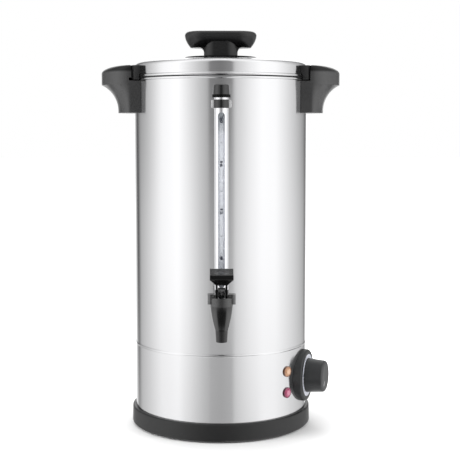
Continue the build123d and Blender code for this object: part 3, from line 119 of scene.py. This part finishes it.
def mix(tree, share, first, second, kind="RGBA"):
    """Mixes two colours by a share, or two numbers when its kind is FLOAT."""
    made = add(tree, "ShaderNodeMix", data_type=kind)
    first_at, second_at, result_at = MIX_SOCKETS[kind]
    feed(tree, made.inputs[0], share)
    feed(tree, made.inputs[first_at], first)
    feed(tree, made.inputs[second_at], second)
    return made.outputs[result_at]


def ramp(tree, source, stops):
    """Colour ramp, its stops given as places from 0 to 1 and colours."""
    made = add(tree, "ShaderNodeValToRGB", Fac=source)
    elements = made.color_ramp.elements
    elements.remove(elements[-1])
    for i, (at, colour) in enumerate(stops):
        stop = elements[0] if i == 0 else elements.new(at)
        stop.position = at
        stop.color = (*colour, 1)
    return made.outputs["Color"]


def place(tree, scale=(1, 1, 1)):
    """Object coordinates times a scale for each axis."""
    coord = add(tree, "ShaderNodeTexCoord")
    return add(tree, "ShaderNodeMapping", Vector=coord.outputs["Object"], Scale=scale).outputs[0]


def axes(tree):
    """Object coordinates as three outputs, X, Y and Z."""
    return add(tree, "ShaderNodeSeparateXYZ", Vector=place(tree)).outputs


def round_place(tree, scale, centre):
    """Coordinates round an upright axis: arc, radius and height, each times a scale."""
    at = axes(tree)
    x = math_node(tree, "SUBTRACT", at["X"], centre[0])
    y = math_node(tree, "SUBTRACT", at["Y"], centre[1])
    arc = math_node(tree, "MULTIPLY", math_node(tree, "ARCTAN2", y, x), scale[0])
    radius = math_node(tree, "MULTIPLY", hypotenuse(tree, x, y), scale[1])
    height = math_node(tree, "MULTIPLY", at["Z"], scale[2])
    return add(tree, "ShaderNodeCombineXYZ", X=arc, Y=radius, Z=height).outputs[0]


def noise(tree, vector, scale, detail=3.0, roughness=0.55):
    """Noise texture over some coordinates."""
    made = add(tree, "ShaderNodeTexNoise", Vector=vector, Scale=scale, Detail=detail,
               Roughness=roughness)
    return made.outputs["Fac"]


def shader_of(mat):
    """A material's Principled shader."""
    return mat.node_tree.nodes["Principled BSDF"]


def set_inputs(mat, values):
    """Gives inputs of a material's Principled shader their values."""
    for key, value in values.items():
        feed(mat.node_tree, shader_of(mat).inputs[key], value)


def material(name, values):
    """New material with values for its shader's inputs: returns it and its node tree."""
    mat = bpy.data.materials.new(name)
    mat.use_nodes = True
    set_inputs(mat, values)
    return mat, mat.node_tree


def bump(mat, height, strength, distance):
    """Adds a relief to the one that a material has so far."""
    made = add(mat.node_tree, "ShaderNodeBump", Strength=strength, Distance=distance, Height=height)
    normal = shader_of(mat).inputs["Normal"]
    if normal.is_linked:
        feed(mat.node_tree, made.inputs["Normal"], normal.links[0].from_socket)
    set_inputs(mat, {"Normal": made.outputs[0]})


# ------------------------------------------------------------------ studio
scene.view_settings.view_transform = "Standard"
scene.view_settings.look = "None"
scene.view_settings.exposure = 0.0

# The world is white to the camera. What the steel mirrors is a studio with two wide white walls
# left and right of the camera, a grey slot between them and darker corners at the sides.
world = bpy.data.worlds.new("studio")
scene.world = world
world.use_nodes = True
studio = world.node_tree
studio.nodes.clear()
studio_coord = add(studio, "ShaderNodeTexCoord")
studio_axes = add(studio, "ShaderNodeSeparateXYZ", Vector=studio_coord.outputs["Generated"]).outputs
# The azimuth is 0 towards the camera and positive to the right, and -pi to pi becomes 0 to 1
studio_azimuth = math_node(studio, "ARCTAN2", studio_axes["X"],
                           math_node(studio, "MULTIPLY", studio_axes["Y"], -1.0))
studio_turn = spread(studio, studio_azimuth, 0.0, 1.0, -pi, pi)
# The sine of the elevation, from 0 straight down to 1 straight up
studio_rise = math_node(studio, "MULTIPLY_ADD", studio_axes["Z"], 0.5, 0.5)


def grey(value):
    """A colour without a tint."""
    return value, value, value


def walls(stops):
    """Brightness round the studio, given at azimuths in degrees."""
    return ramp(studio, studio_turn, [((angle + 180) / 360, grey(value)) for angle, value in stops])


def band(stops):
    """Share of one height of the studio, given at elevations in degrees."""
    return ramp(studio, studio_rise,
                [(0.5 + 0.5 * sin(radians(angle)), grey(share)) for angle, share in stops])


# Azimuth and brightness of the left wall, the slot and the right wall, at three heights
LEVEL_WALLS = (
    (-180, 1.4), (-163, 1.2), (-155, 0.75), (-147, 0.12), (-142, 0.14), (-136, 0.42), (-132, 0.56),
    (-112, 0.8), (-86, 1.2), (-58, 1.34), (-42, 1.12), (-27, 0.79), (-20, 0.65), (-16, 0.62),
    (-15, 0.52), (0, 0.46), (15, 0.54), (16, 0.76), (20, 0.88), (26, 0.99), (38, 1.17), (54, 1.3),
    (76, 1.28), (104, 0.96), (126, 0.7), (138, 0.56), (144, 0.46), (149, 0.22), (153, 0.26),
    (160, 1.4), (180, 1.4))
HIGH_WALLS = (
    (-180, 1.4), (-163, 1.1), (-155, 0.65), (-147, 0.1), (-142, 0.12), (-136, 0.34), (-131, 0.42),
    (-112, 0.6), (-98, 0.84), (-82, 1.2), (-58, 1.34), (-42, 1.0), (-27, 0.7), (-20, 0.58),
    (-16, 0.47), (-15, 0.24), (0, 0.2), (15, 0.3), (16, 0.6), (20, 0.76), (26, 0.86), (38, 1.08),
    (54, 1.3), (76, 1.26), (104, 0.84), (126, 0.55), (140, 0.36), (147, 0.16), (152, 0.2),
    (160, 1.4), (180, 1.4))
LOW_WALLS = (
    (-180, 1.4), (-158, 1.4), (-145, 0.2), (-131, 0.46), (-112, 0.9), (-86, 1.3), (-62, 1.3),
    (-50, 0.4), (-40, 0.2), (0, 0.14), (40, 0.2), (50, 0.4), (62, 1.3), (86, 1.3), (112, 0.9),
    (131, 0.46), (145, 0.2), (158, 1.4), (180, 1.4))
HAZE, CEILING = 0.72, 1.15          # brightness below the level walls, and overhead

studio_colour = mix(studio, band(((-5, 0.0), (-0.5, 1.0))), walls(LEVEL_WALLS), walls(HIGH_WALLS))
for share, colour in (
        (band(((-24, 0.0), (-19, 0.4), (-15, 0.4), (-8, 0.0))), grey(HAZE)),
        (band(((-46, 0.0), (-38, 1.0), (-24, 1.0), (-17, 0.0))), walls(LOW_WALLS)),
        (band(((40, 0.0), (65, 0.4))), grey(CEILING))):
    studio_colour = mix(studio, share, studio_colour, colour)
mirrored = add(studio, "ShaderNodeBackground", Color=studio_colour, Strength=1.0)
plain_white = add(studio, "ShaderNodeBackground", Color=grey(1.0), Strength=1.0)
seen = add(studio, "ShaderNodeMixShader",
           Fac=add(studio, "ShaderNodeLightPath").outputs["Is Camera Ray"])
feed(studio, seen.inputs[1], mirrored.outputs[0])
feed(studio, seen.inputs[2], plain_white.outputs[0])
add(studio, "ShaderNodeOutputWorld", Surface=seen.outputs[0])

# Soft square lights that neither the camera nor the steel sees:
# name, place, target, length of a side and power
LIGHTS = (
    ("key_left", (-2.4, -1.0, 1.5), (0, 0, 0.2), 1.2, 30),
    ("fill_right", (2.4, -1.2, 1.8), (0, 0, 0.3), 1.2, 26),
    ("top", (-0.3, 1.1, 2.8), (0, 0, 0.2), 2.0, 50))
for light_name, light_at, target, side, power in LIGHTS:
    light = bpy.data.lights.new(light_name, "AREA")
    light.shape = "SQUARE"
    light.size = side
    light.energy = power
    lamp = link_new(light_name, light)
    lamp.location = light_at
    towards = Vector(target) - Vector(light_at)
    lamp.rotation_euler = towards.to_track_quat("-Z", "Y").to_euler()
    lamp.visible_camera = False
    lamp.visible_glossy = False

FLOOR_R = 14.0
FLOOR_DROP = 0.0005                 # gap under the foot, so that the two faces don't coincide
# The floor glows plain white away from the urn. Near the urn the glow fades almost to nothing, a
# painted shade round its foot that widens its real shadow
GLOW_UNDER = 0.02                   # under the urn, rising to plain white away from it
GLOW_START, GLOW_STOP = 0.14, 0.4   # distances from the axis between which it rises
floor_mesh = bpy.data.meshes.new("floor")
floor_bm = bmesh.new()
bmesh.ops.create_circle(floor_bm, cap_ends=True, segments=96, radius=FLOOR_R)
floor_bm.to_mesh(floor_mesh)
floor_bm.free()
floor = link_new("floor", floor_mesh)
floor.location = (0, 0, -FLOOR_DROP)
floor.visible_glossy = False        # so that the steel mirrors the same studio down to its foot
floor_white, floor_tree = material("floor_white", {
    "Base Color": grey(0.86), "Roughness": 0.9, "Specular IOR Level": 0.0,
    "Emission Color": grey(1.0)})
floor_away = add(floor_tree, "ShaderNodeVectorMath", operation="LENGTH", Vector=place(floor_tree))
set_inputs(floor_white, {"Emission Strength": spread(
    floor_tree, floor_away.outputs["Value"], GLOW_UNDER, 1.0, GLOW_START, GLOW_STOP, "SMOOTHSTEP")})
floor_mesh.materials.append(floor_white)

# ------------------------------------------------------------------ finishes
# Scales of textures, per metre. Round an axis they are for the arc, the radius and the height.
BRUSHED_ROUND, CLOUDY_ROUND, DENTED_ROUND = (7.0, 900.0, 2600.0), (1.2, 6.0, 5.0), (0.9, 5.0, 4.0)
BRUSHED_LENGTHWAYS, CLOUDY = (2600.0, 2600.0, 9.0), (9.0, 9.0, 9.0)
BRUSH_DEPTH, DENT_DEPTH = 0.00004, 0.0012
WEAR_SCALE = 22.0                   # worn spots on plastic
GRAIN_DEPTH = 0.12                  # of plastic's grain, as a share of its size


def brushed_steel(name, colour, rough, grain, centre=(0, 0), turned=True, anisotropy=0.6,
                  dents=0.0, streak=0.06):
    """Steel brushed round an upright axis, or lengthways when not turned."""
    mat, tree = material(name, {"Metallic": 1.0, "Anisotropic": anisotropy, "IOR": 2.5})
    if turned:
        lines = round_place(tree, BRUSHED_ROUND, centre)
        blot = round_place(tree, CLOUDY_ROUND, centre)
        tangent = add(tree, "ShaderNodeTangent", direction_type="RADIAL", axis="Z")
        set_inputs(mat, {"Tangent": tangent.outputs[0], "Anisotropic Rotation": 0.25})
    else:
        lines = place(tree, BRUSHED_LENGTHWAYS)
        blot = place(tree, CLOUDY)
    fine = noise(tree, lines, 1.0, 4.0, 0.6)
    cloud = noise(tree, blot, 1.6, 3.0)
    level = math_node(tree, "ADD", spread(tree, fine, -0.02, 0.02),
                      spread(tree, cloud, rough - 0.015, rough + 0.02))
    tone = math_node(tree, "ADD", spread(tree, fine, 0.0, 0.6), spread(tree, cloud, 0.0, 0.4))
    dark = tuple(c * (1 - streak) for c in colour)
    set_inputs(mat, {"Roughness": level, "Base Color": mix(tree, tone, dark, colour)})
    bump(mat, fine, grain, BRUSH_DEPTH)
    if dents:
        wave = noise(tree, round_place(tree, DENTED_ROUND, centre), 1.4, 1.0)
        bump(mat, wave, dents, DENT_DEPTH)
    return mat


def plastic(name, colour, rough, grain_size, grain, wear=0.12, coat=0.0, specular=0.5, edge=0.0):
    """Moulded plastic with a fine grain, rubbed a little brighter here and there. With an edge
    its corners look rounded to that radius, so that they catch light."""
    mat, tree = material(name, {"Specular IOR Level": specular, "Coat Weight": coat,
                                "Coat Roughness": 0.08})
    if edge:
        corners = add(tree, "ShaderNodeBevel", Radius=edge, samples=4)
        set_inputs(mat, {"Normal": corners.outputs[0]})
    spot = place(tree)
    cloud = noise(tree, spot, WEAR_SCALE, 4.0)
    grit = noise(tree, spot, 1.0 / grain_size, 2.0, 0.5)
    light = tuple(min(1.0, c * (1 + wear) + 0.001) for c in colour)
    level = math_node(tree, "ADD", spread(tree, cloud, rough - 0.05, rough + 0.06),
                      spread(tree, grit, -0.03, 0.03))
    set_inputs(mat, {"Roughness": level,
                     "Base Color": mix(tree, spread(tree, cloud, 0.0, 1.0), colour, light)})
    bump(mat, grit, grain, grain_size * GRAIN_DEPTH)
    return mat


def lens(name, height, middle, body, rim):
    """Coloured lamp, painted pale in its middle and darker towards the flange round it."""
    mat, tree = material(name, {"Roughness": 0.3, "Coat Weight": 0.4, "Coat Roughness": 0.1})
    at = axes(tree)
    across = math_node(tree, "ADD", math_node(tree, "MULTIPLY", at["X"], cos(LAMP_AZIMUTH)),
                       math_node(tree, "MULTIPLY", at["Y"], sin(LAMP_AZIMUTH)))
    up = math_node(tree, "SUBTRACT", at["Z"], height)
    out = math_node(tree, "MULTIPLY", hypotenuse(tree, across, up), 1 / LENS_R)
    cloud = noise(tree, place(tree), 500.0, 2.0)
    level = math_node(tree, "ADD", out, spread(tree, cloud, -0.03, 0.03))
    set_inputs(mat, {"Base Color": ramp(tree, level, ((0.3, middle), (0.56, body), (0.78, rim)))})
    bump(mat, cloud, 0.15, 0.0002)
    return mat


def blend_input(mat, name, share, value):
    """Blends what a shader's input has so far towards a value, by a share."""
    socket = shader_of(mat).inputs[name]
    kind = "RGBA" if isinstance(value, tuple) else "FLOAT"
    before = socket.links[0].from_socket if socket.is_linked else socket.default_value
    set_inputs(mat, {name: mix(mat.node_tree, share, before, value, kind)})


def shade_beyond(mat, direction, start, stop, colour, specular=None):
    """Past a plane across a direction, the finish takes another colour, and maybe gloss."""
    tree = mat.node_tree
    along = add(tree, "ShaderNodeVectorMath", operation="DOT_PRODUCT", Vector=place(tree))
    along.inputs[1].default_value = direction
    share = spread(tree, along.outputs["Value"], 0.0, 1.0, start, stop)
    blend_input(mat, "Base Color", share, colour)
    if specular is not None:
        blend_input(mat, "Specular IOR Level", share, specular)


def dull_front(mat, start, stop):
    """Round the middle of the front, where x is small, the finish has no glossy coat."""
    tree = mat.node_tree
    share = spread(tree, math_node(tree, "ABSOLUTE", axes(tree)["X"]), 1.0, 0.0, start, stop)
    blend_input(mat, "Coat Weight", share, 0.0)


def node_heights(name):
    """Lowest and highest point of a CAD node."""
    node = nodes[name]
    levels = [(node.matrix_world @ vert.co).z for vert in node.data.vertices]
    return min(levels), max(levels)


# ------------------------------------------------------------------ materials
GAUGE_AT = (0.0, -0.157)            # the gauge's axis

# Metals: colour, roughness and strength of the brushing
body_steel = brushed_steel("body_steel", (0.79, 0.79, 0.80), 0.15, 0.04, anisotropy=0.75,
                           dents=0.02, streak=0.03)
lid_steel = brushed_steel("lid_steel", (0.79, 0.79, 0.80), 0.15, 0.04, anisotropy=0.75,
                          streak=0.03)
small_steel = brushed_steel("small_steel", (0.62, 0.62, 0.63), 0.3, 0.2, turned=False,
                            anisotropy=0.2)
guard_steel = brushed_steel("guard_steel", (0.96, 0.96, 0.98), 0.22, 0.05, centre=GAUGE_AT,
                            anisotropy=0.3)
dial_metal, cast_metal, zinc, brass = (
    brushed_steel(name, colour, rough, grain, turned=False, anisotropy=0.0)
    for name, colour, rough, grain in (
        ("dial_metal", (0.78, 0.8, 0.88), 0.45, 0.1), ("cast_metal", (0.66, 0.66, 0.67), 0.42, 0.5),
        ("zinc", (0.95, 0.95, 0.96), 0.5, 0.1), ("brass", (0.76, 0.58, 0.28), 0.3, 0.2)))
set_inputs(dial_metal, {"Metallic": 0.3})

# Plastics: colour, roughness, size and strength of the grain
handle_black = plastic("handle_black", (0.013, 0.013, 0.0135), 0.3, 0.00045, 0.2, wear=0.15,
                       specular=1.0, edge=0.0012)
knob_black = plastic("knob_black", (0.007, 0.007, 0.0073), 0.32, 0.0004, 0.25, wear=0.15,
                     edge=0.0012)
base_black = plastic("base_black", (0.006, 0.006, 0.0063), 0.36, 0.0005, 0.25, wear=0.15)
dial_black, dial_knob_black = (
    plastic(name, (0.016, 0.017, 0.018), 0.4, 0.00035, 0.25)
    for name in ("dial_black", "dial_knob_black"))
gloss_black = plastic("gloss_black", (0.001, 0.001, 0.0011), 0.12, 0.0003, 0.03, wear=0.1,
                      coat=0.8, specular=0.6, edge=0.0009)
collar_black, cap_black = (
    plastic(name, (0.0008, 0.0008, 0.0009), 0.08, 0.0003, 0.03, wear=0.1, coat=0.2,
            specular=0.75, edge=0.0005)
    for name in ("collar_black", "cap_black"))
lever_black = plastic("lever_black", (0.002, 0.002, 0.0021), 0.28, 0.0003, 0.1, wear=0.1,
                      specular=0.15, edge=0.0009)
bonnet_black = plastic("bonnet_black", (0.01, 0.01, 0.0102), 0.25, 0.0003, 0.05, wear=0.1,
                       coat=0.9, specular=0.7, edge=0.0009)
stem_grey = plastic("stem_grey", (0.07, 0.07, 0.072), 0.2, 0.0003, 0.05, wear=0.1, coat=0.5,
                    specular=1.0, edge=0.0006)
plate_black = plastic("plate_black", (0.006, 0.006, 0.0063), 0.6, 0.0004, 0.1, specular=0.0)
inner_black = plastic("inner_black", (0.05, 0.05, 0.055), 0.45, 0.0004, 0.2)
terminal_white = plastic("terminal_white", (0.72, 0.7, 0.64), 0.4, 0.0004, 0.15)
button_red = plastic("button_red", (0.5, 0.03, 0.025), 0.3, 0.0004, 0.1)
rubber = plastic("rubber", (0.025, 0.025, 0.026), 0.78, 0.0005, 0.5, specular=0.3)
silicone = plastic("silicone", (0.55, 0.55, 0.53), 0.6, 0.0005, 0.2)
enamel = plastic("enamel", (0.84, 0.85, 0.89), 0.35, 0.0004, 0.05, wear=0.02)
# A faint glow keeps the gauge's strip as pale behind its glass as in the photograph
set_inputs(enamel, {"Emission Color": (0.9, 0.92, 1.0), "Emission Strength": 0.3})
print_blue = plastic("print_blue", (0.012, 0.014, 0.03), 0.5, 0.0003, 0.1)
print_white = plastic("print_white", (0.75, 0.75, 0.76), 0.5, 0.0003, 0.1, wear=0.02)

# Lamps: height, and the colours of the middle, the body and the rim
LAMP_AZIMUTH = radians(47.5)
LENS_R = 0.01                       # distance from a lamp's axis at which its colours end
amber = lens("amber", 0.098, (0.56, 0.36, 0.24), (0.45, 0.24, 0.13), (0.14, 0.06, 0.03))
red = lens("red", 0.065, (0.46, 0.16, 0.24), (0.34, 0.05, 0.12), (0.1, 0.012, 0.035))

glass, glass_tree = material("gauge_glass", {"IOR": 1.47, "Alpha": 0.3})
glass_smear = noise(glass_tree, place(glass_tree, (60, 60, 14)), 0.6, 1.0)
set_inputs(glass, {
    "Base Color": mix(glass_tree, glass_smear, (0.78, 0.8, 0.83), (0.82, 0.84, 0.87)),
    "Roughness": spread(glass_tree, glass_smear, 0.02, 0.08)})
bump(glass, glass_smear, 0.01, 0.0001)

# ------------------------------------------------------------------ changes of tone on one piece
# Painted shade: the handles' crowned tops are darker, as if in shade
CROWN_SHADE = (0.0105, 0.0075)            # depths under the top between which the tone changes
handle_top = node_heights("handle_left")[1]
shade_beyond(handle_black, (0, 0, 1), handle_top - CROWN_SHADE[0], handle_top - CROWN_SHADE[1],
             (0.004, 0.004, 0.0042), 0.3)

# Painted highlight: the lever's finger rest, which faces up into the light, is lighter than the
# rest of it
REST_HIGHLIGHT = (0.0074, 0.0064)             # depths under the top
lever_top = node_heights("tap_lever")[1]
shade_beyond(lever_black, (0, 0, 1), lever_top - REST_HIGHLIGHT[0], lever_top - REST_HIGHLIGHT[1],
             (0.021, 0.021, 0.0212), 0.6)

# The photograph's tap mirrors something dark along the middle of its front, which this studio
# doesn't have, so the coat that mirrors the pale walls is left off there
UNCOATED = (0.002, 0.0105)          # distances from the middle
for look in (gloss_black, bonnet_black):
    dull_front(look, *UNCOATED)

# Painted light: the bonnet's ears, which stand out from its drum, are lighter, as if lit more than
# the drum
BONNET_R, EAR_LIGHT_FADE = 0.0168, 0.0006
for side in (-1, 1):
    shade_beyond(bonnet_black, (side, 0, 0), BONNET_R - EAR_LIGHT_FADE, BONNET_R + EAR_LIGHT_FADE,
                 (0.09, 0.09, 0.092))

# The gauge cap's notched ring is duller than the cone over it
CAP_RING = (0.0047, 0.0042)         # heights over the cap's foot
cap_foot = node_heights("gauge_cap")[0]
shade_beyond(cap_black, (0, 0, -1), -cap_foot - CAP_RING[0], -cap_foot - CAP_RING[1],
             (0.0006, 0.0006, 0.0006), 0.05)

# The top of the gauge's strip is painted darker, for the shade of its cap in the photograph
STRIP_SHADE = (0.462, 0.486)        # heights over the floor
for look in (enamel, glass):
    shade_beyond(look, (0, 0, 1), *STRIP_SHADE, (0.36, 0.39, 0.41))

# Painted reflection: the end of the thermostat knob is lighter than its side, as if it mirrored a
# brighter part of the room
DIAL_AZIMUTH = radians(71)
DIAL_Z = 0.082
DIAL_FACE_R = 0.145                 # from the urn's axis to the front of the bezel
KNOB_GAP, KNOB_LENGTH = 0.0005, 0.0285
KNOB_FRONT = DIAL_FACE_R + KNOB_GAP + KNOB_LENGTH
KNOB_END_REFLECTION = (0.0035, 0.001)          # depths behind the knob's front
dial_out = Vector((sin(DIAL_AZIMUTH), -cos(DIAL_AZIMUTH), 0))
shade_beyond(dial_knob_black, dial_out, KNOB_FRONT - KNOB_END_REFLECTION[0], KNOB_FRONT - KNOB_END_REFLECTION[1],
             (0.042, 0.043, 0.044))

# ------------------------------------------------------------------ looks of the CAD nodes
LOOKS = (
    (body_steel, "tank tank_floor skirt gland_plate"),
    (lid_steel, "lid"),
    (small_steel, "bottom_plate base_screws base_nuts handle_screws lug_rivets knob_screw "
                  "bracket_screw dial_screws rear_rivets clamp_nuts shank_nut lever_pin "
                  "tap_spring dial_spindle heating_element element_clamp"),
    (guard_steel, "gauge_guard"),
    (dial_metal, "dial_ring"),
    (cast_metal, "heat_spreader"),
    (zinc, "gauge_bracket"),
    (brass, "terminal_screw_set"),
    (handle_black, "handle_right handle_left"),
    (knob_black, "lid_lugs lid_knob"),
    (plate_black, "knob_plate"),
    (base_black, "base_ring"),
    (dial_black, "dial_bezel"),
    (dial_knob_black, "dial_knob"),
    (gloss_black, "tap_shank tap_body"),
    (bonnet_black, "tap_bonnet"),
    (lever_black, "tap_lever"),
    (stem_grey, "tap_stem"),
    (cap_black, "gauge_cap"),
    (collar_black, "gauge_collar"),
    (inner_black, "thermostat lamp_nuts thermal_cutout cutout_nut cable_gland gland_nut"),
    (terminal_white, "terminal_block"),
    (button_red, "reset_button"),
    (rubber, "foot_ring tap_seat_cup lid_seal"),
    (silicone, "shank_seals gauge_seals"),
    (glass, "gauge_glass"),
    (amber, "lamp_amber"),
    (red, "lamp_red"))
for look, names in LOOKS:
    for name in names.split():
        for slot in nodes[name].material_slots:
            slot.material = look

# ------------------------------------------------------------------ mesh tools
WORD_T, DASH_T = 0.00005, 0.00006   # thickness of printed letters and dashes
WRAP_CUTS = 4                       # cuts each side of the middle, so that wide strokes curve


def wrap(bm, centre, radius):
    """Rolls a flat drawing, x across and z up, onto the front of an upright tube."""
    widest = max(abs(vert.co.x) for vert in bm.verts)
    for i in range(-WRAP_CUTS, WRAP_CUTS + 1):
        bmesh.ops.bisect_plane(bm, geom=bm.verts[:] + bm.edges[:] + bm.faces[:], dist=1e-7,
                               plane_co=(widest * i / (WRAP_CUTS + 1), 0, 0),
                               plane_no=(1, 0, 0))
    for vert in bm.verts:
        turn = vert.co.x / radius
        out = radius + vert.co.y
        vert.co = Vector((centre[0] + out * sin(turn), centre[1] - out * cos(turn), vert.co.z))


def add_word(bm, words, length, height, matrix, weight=0.0):
    """Adds a word as a thin solid of a given length and height, drawn flat, centred and moved."""
    curve = bpy.data.curves.new("word", "FONT")
    curve.body = words
    curve.size = height
    curve.extrude = WORD_T / 2
    curve.offset = weight
    curve.resolution_u = 3
    maker = bpy.data.objects.new("word", curve)
    mesh = bpy.data.meshes.new_from_object(maker)
    low = [min(vert.co[i] for vert in mesh.vertices) for i in range(2)]
    high = [max(vert.co[i] for vert in mesh.vertices) for i in range(2)]
    fit = Matrix.Diagonal((length / (high[0] - low[0]), height / (high[1] - low[1]), 1, 1))
    centred = Matrix.Translation((-(high[0] + low[0]) / 2, -(high[1] + low[1]) / 2, 0))
    mesh.transform(matrix @ fit @ centred)
    bm.from_mesh(mesh)
    bpy.data.meshes.remove(mesh)
    bpy.data.objects.remove(maker)
    bpy.data.curves.remove(curve)


def add_box(bm, low, high, matrix=Matrix.Identity(4)):
    """Adds a small box, drawn between two corners and moved."""
    low, high = Vector(low), Vector(high)
    for vert in bmesh.ops.create_cube(bm, size=1.0)["verts"]:
        vert.co = matrix @ (vert.co * (high - low) + (high + low) / 2)


def sweep(bm, section, turns, centre=(0, 0), closed=False):
    """Sweeps a section, given as radii and heights, round an upright axis."""
    rings = [[bm.verts.new((centre[0] + r * cos(turn), centre[1] + r * sin(turn), z))
              for r, z in section] for turn in turns]
    for here, there in zip(rings, rings[1:] + rings[:1] if closed else rings[1:]):
        for i in range(len(section)):
            j = (i + 1) % len(section)
            bm.faces.new((here[i], here[j], there[j], there[i]))
    if not closed:
        bm.faces.new(rings[0])
        bm.faces.new(rings[-1])


def finish_piece(name, bm, look, body, smooth=True):
    """Turns a drawing into a piece that rides a body."""
    mesh = bpy.data.meshes.new(name)
    bmesh.ops.recalc_face_normals(bm, faces=bm.faces)
    bm.to_mesh(mesh)
    bm.free()
    mesh.materials.append(look)
    if smooth:
        mesh.polygons.foreach_set("use_smooth", [True] * len(mesh.polygons))
    piece = link_new(name, mesh)
    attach(piece, body)


# ------------------------------------------------------------------ level gauge
GLASS_R = 0.006
PRINT_R = GLASS_R + 0.00006         # the print stands a hair off the glass

# The numbers read from the side, so each stands on its end, with a short dash halfway between two:
# number, height of its middle, its length and its letters' height
GAUGE_NUMBERS = (("20", 0.4828, 0.0095, 0.0044), ("16", 0.4192, 0.0085, 0.0038),
                 ("12", 0.3504, 0.0085, 0.0038), ("8", 0.2824, 0.006, 0.0038))
GAUGE_WEIGHT = 0.00025              # how much the numbers' strokes are thickened
GAUGE_DASHES = (0.4500, 0.3800, 0.3145)
GAUGE_DASH = Vector((0.0014, DASH_T / 2, 0.0004))       # half of a dash's size
upright = Matrix(((1, 0, 0, 0), (0, 0, 1, 0), (0, 1, 0, 0), (0, 0, 0, 1)))
sideways = Matrix.Rotation(radians(-90), 4, "Z")
scale_bm = bmesh.new()
for words, middle, length, height in GAUGE_NUMBERS:
    add_word(scale_bm, words, length, height,
             Matrix.Translation((0, 0, middle)) @ upright @ sideways, GAUGE_WEIGHT)
for height in GAUGE_DASHES:
    middle = Vector((0, 0, height))
    add_box(scale_bm, middle - GAUGE_DASH, middle + GAUGE_DASH)
wrap(scale_bm, GAUGE_AT, PRINT_R)
finish_piece("gauge_scale", scale_bm, print_blue, "urn", smooth=False)

# Pale enamelled strip behind the glass
BACKING_R, BACKING_T = 0.0084, 0.0004
BACKING_LOW, BACKING_HIGH = 0.2405, 0.5150
BACKING_REACH, BACKING_STEPS = 70, 16                   # degrees each side of the back
backing_section = [(BACKING_R, BACKING_LOW), (BACKING_R, BACKING_HIGH),
                   (BACKING_R - BACKING_T, BACKING_HIGH), (BACKING_R - BACKING_T, BACKING_LOW)]
backing_turns = [radians(90 + BACKING_REACH * (1 - 2 * i / BACKING_STEPS))
                 for i in range(BACKING_STEPS + 1)]
backing_bm = bmesh.new()
sweep(backing_bm, backing_section, backing_turns, GAUGE_AT)
finish_piece("gauge_backing", backing_bm, enamel, "urn")

# ------------------------------------------------------------------ seam
# Thin steel-coloured bead that fills the groove where the tank plugs into the skirt
SEAM_Z = 0.1335
SEAM_STEPS = 240
# Radius, and height over SEAM_Z
SEAM_SECTION = ((0.1362, -0.0002), (0.13685, -0.00025), (0.13697, 0.0), (0.13699, 0.0003),
                (0.13697, 0.0007), (0.13685, 0.00086), (0.1362, 0.00082))
seam_bm = bmesh.new()
sweep(seam_bm, [(radius, SEAM_Z + height) for radius, height in SEAM_SECTION],
      [2 * pi * i / SEAM_STEPS for i in range(SEAM_STEPS)], closed=True)
finish_piece("seam_ring", seam_bm, body_steel, "urn")

# ------------------------------------------------------------------ valve spring
# A copy of the tap's spring rides the urn in place of the CAD spring, which is hidden
spring_node = nodes["tap_spring"]
spring_mesh = spring_node.data.copy()
spring_mesh.transform(spring_node.matrix_world)
spring = link_new("valve_spring", spring_mesh)
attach(spring, "urn")
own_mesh(spring)
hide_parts("tap_spring")

# ------------------------------------------------------------------ dial marks
DIAL_NUMBERS = ("0", "30", "50", "70", "90", "110")
DIAL_STEPS = 5                              # from one number to the next, with a dash at each
DIAL_START, DIAL_SPAN = 135.0, 270.0        # degrees to the left of the top, and the knob's travel
DIGIT_W, DIGIT_H = 0.0017, 0.0029
MARK_R = 0.03                               # of the circle of marks
MARK_LIFT = 0.00002                         # how far print stands off its ground
RING_FRONT = DIAL_FACE_R - 0.0002           # the dial ring lies behind the bezel's front
DIAL_DASH = Vector((0.00018, 0.0011, DASH_T / 2))       # half of a dash's size
dial_side = Vector((cos(DIAL_AZIMUTH), sin(DIAL_AZIMUTH), 0))
dial_turned = Matrix((dial_side, (0, 0, 1), dial_out)).transposed().to_4x4()


def dial_matrix(distance):
    """From a flat drawing, x to the right and y up as seen from outside, to the dial."""
    return Matrix.Translation(dial_out * distance + Vector((0, 0, DIAL_Z))) @ dial_turned


marks_bm = bmesh.new()
last_step = DIAL_STEPS * (len(DIAL_NUMBERS) - 1)
for i in range(last_step + 1):
    turn = radians(90 + DIAL_START - DIAL_SPAN * i / last_step)
    spot = (dial_matrix(RING_FRONT + MARK_LIFT)
            @ Matrix.Translation((MARK_R * cos(turn), MARK_R * sin(turn), 0))
            @ Matrix.Rotation(turn - pi / 2, 4, "Z"))
    if i % DIAL_STEPS == 0:
        words = DIAL_NUMBERS[i // DIAL_STEPS]
        add_word(marks_bm, words, DIGIT_W * len(words), DIGIT_H, spot)
    else:
        add_box(marks_bm, -DIAL_DASH, DIAL_DASH, spot)
finish_piece("dial_marks", marks_bm, print_blue, "urn", smooth=False)

# White line on the knob's end, pointing at 0 when the thermostat is off
POINTER_W, POINTER_FROM, POINTER_TO = 0.001, 0.0095, 0.0185
pointer_bm = bmesh.new()
add_box(pointer_bm, (-POINTER_W / 2, POINTER_FROM, -DASH_T / 2),
        (POINTER_W / 2, POINTER_TO, DASH_T / 2),
        dial_matrix(KNOB_FRONT + MARK_LIFT) @ Matrix.Rotation(radians(DIAL_START), 4, "Z"))
finish_piece("knob_pointer", pointer_bm, print_white, "dial", smooth=False)
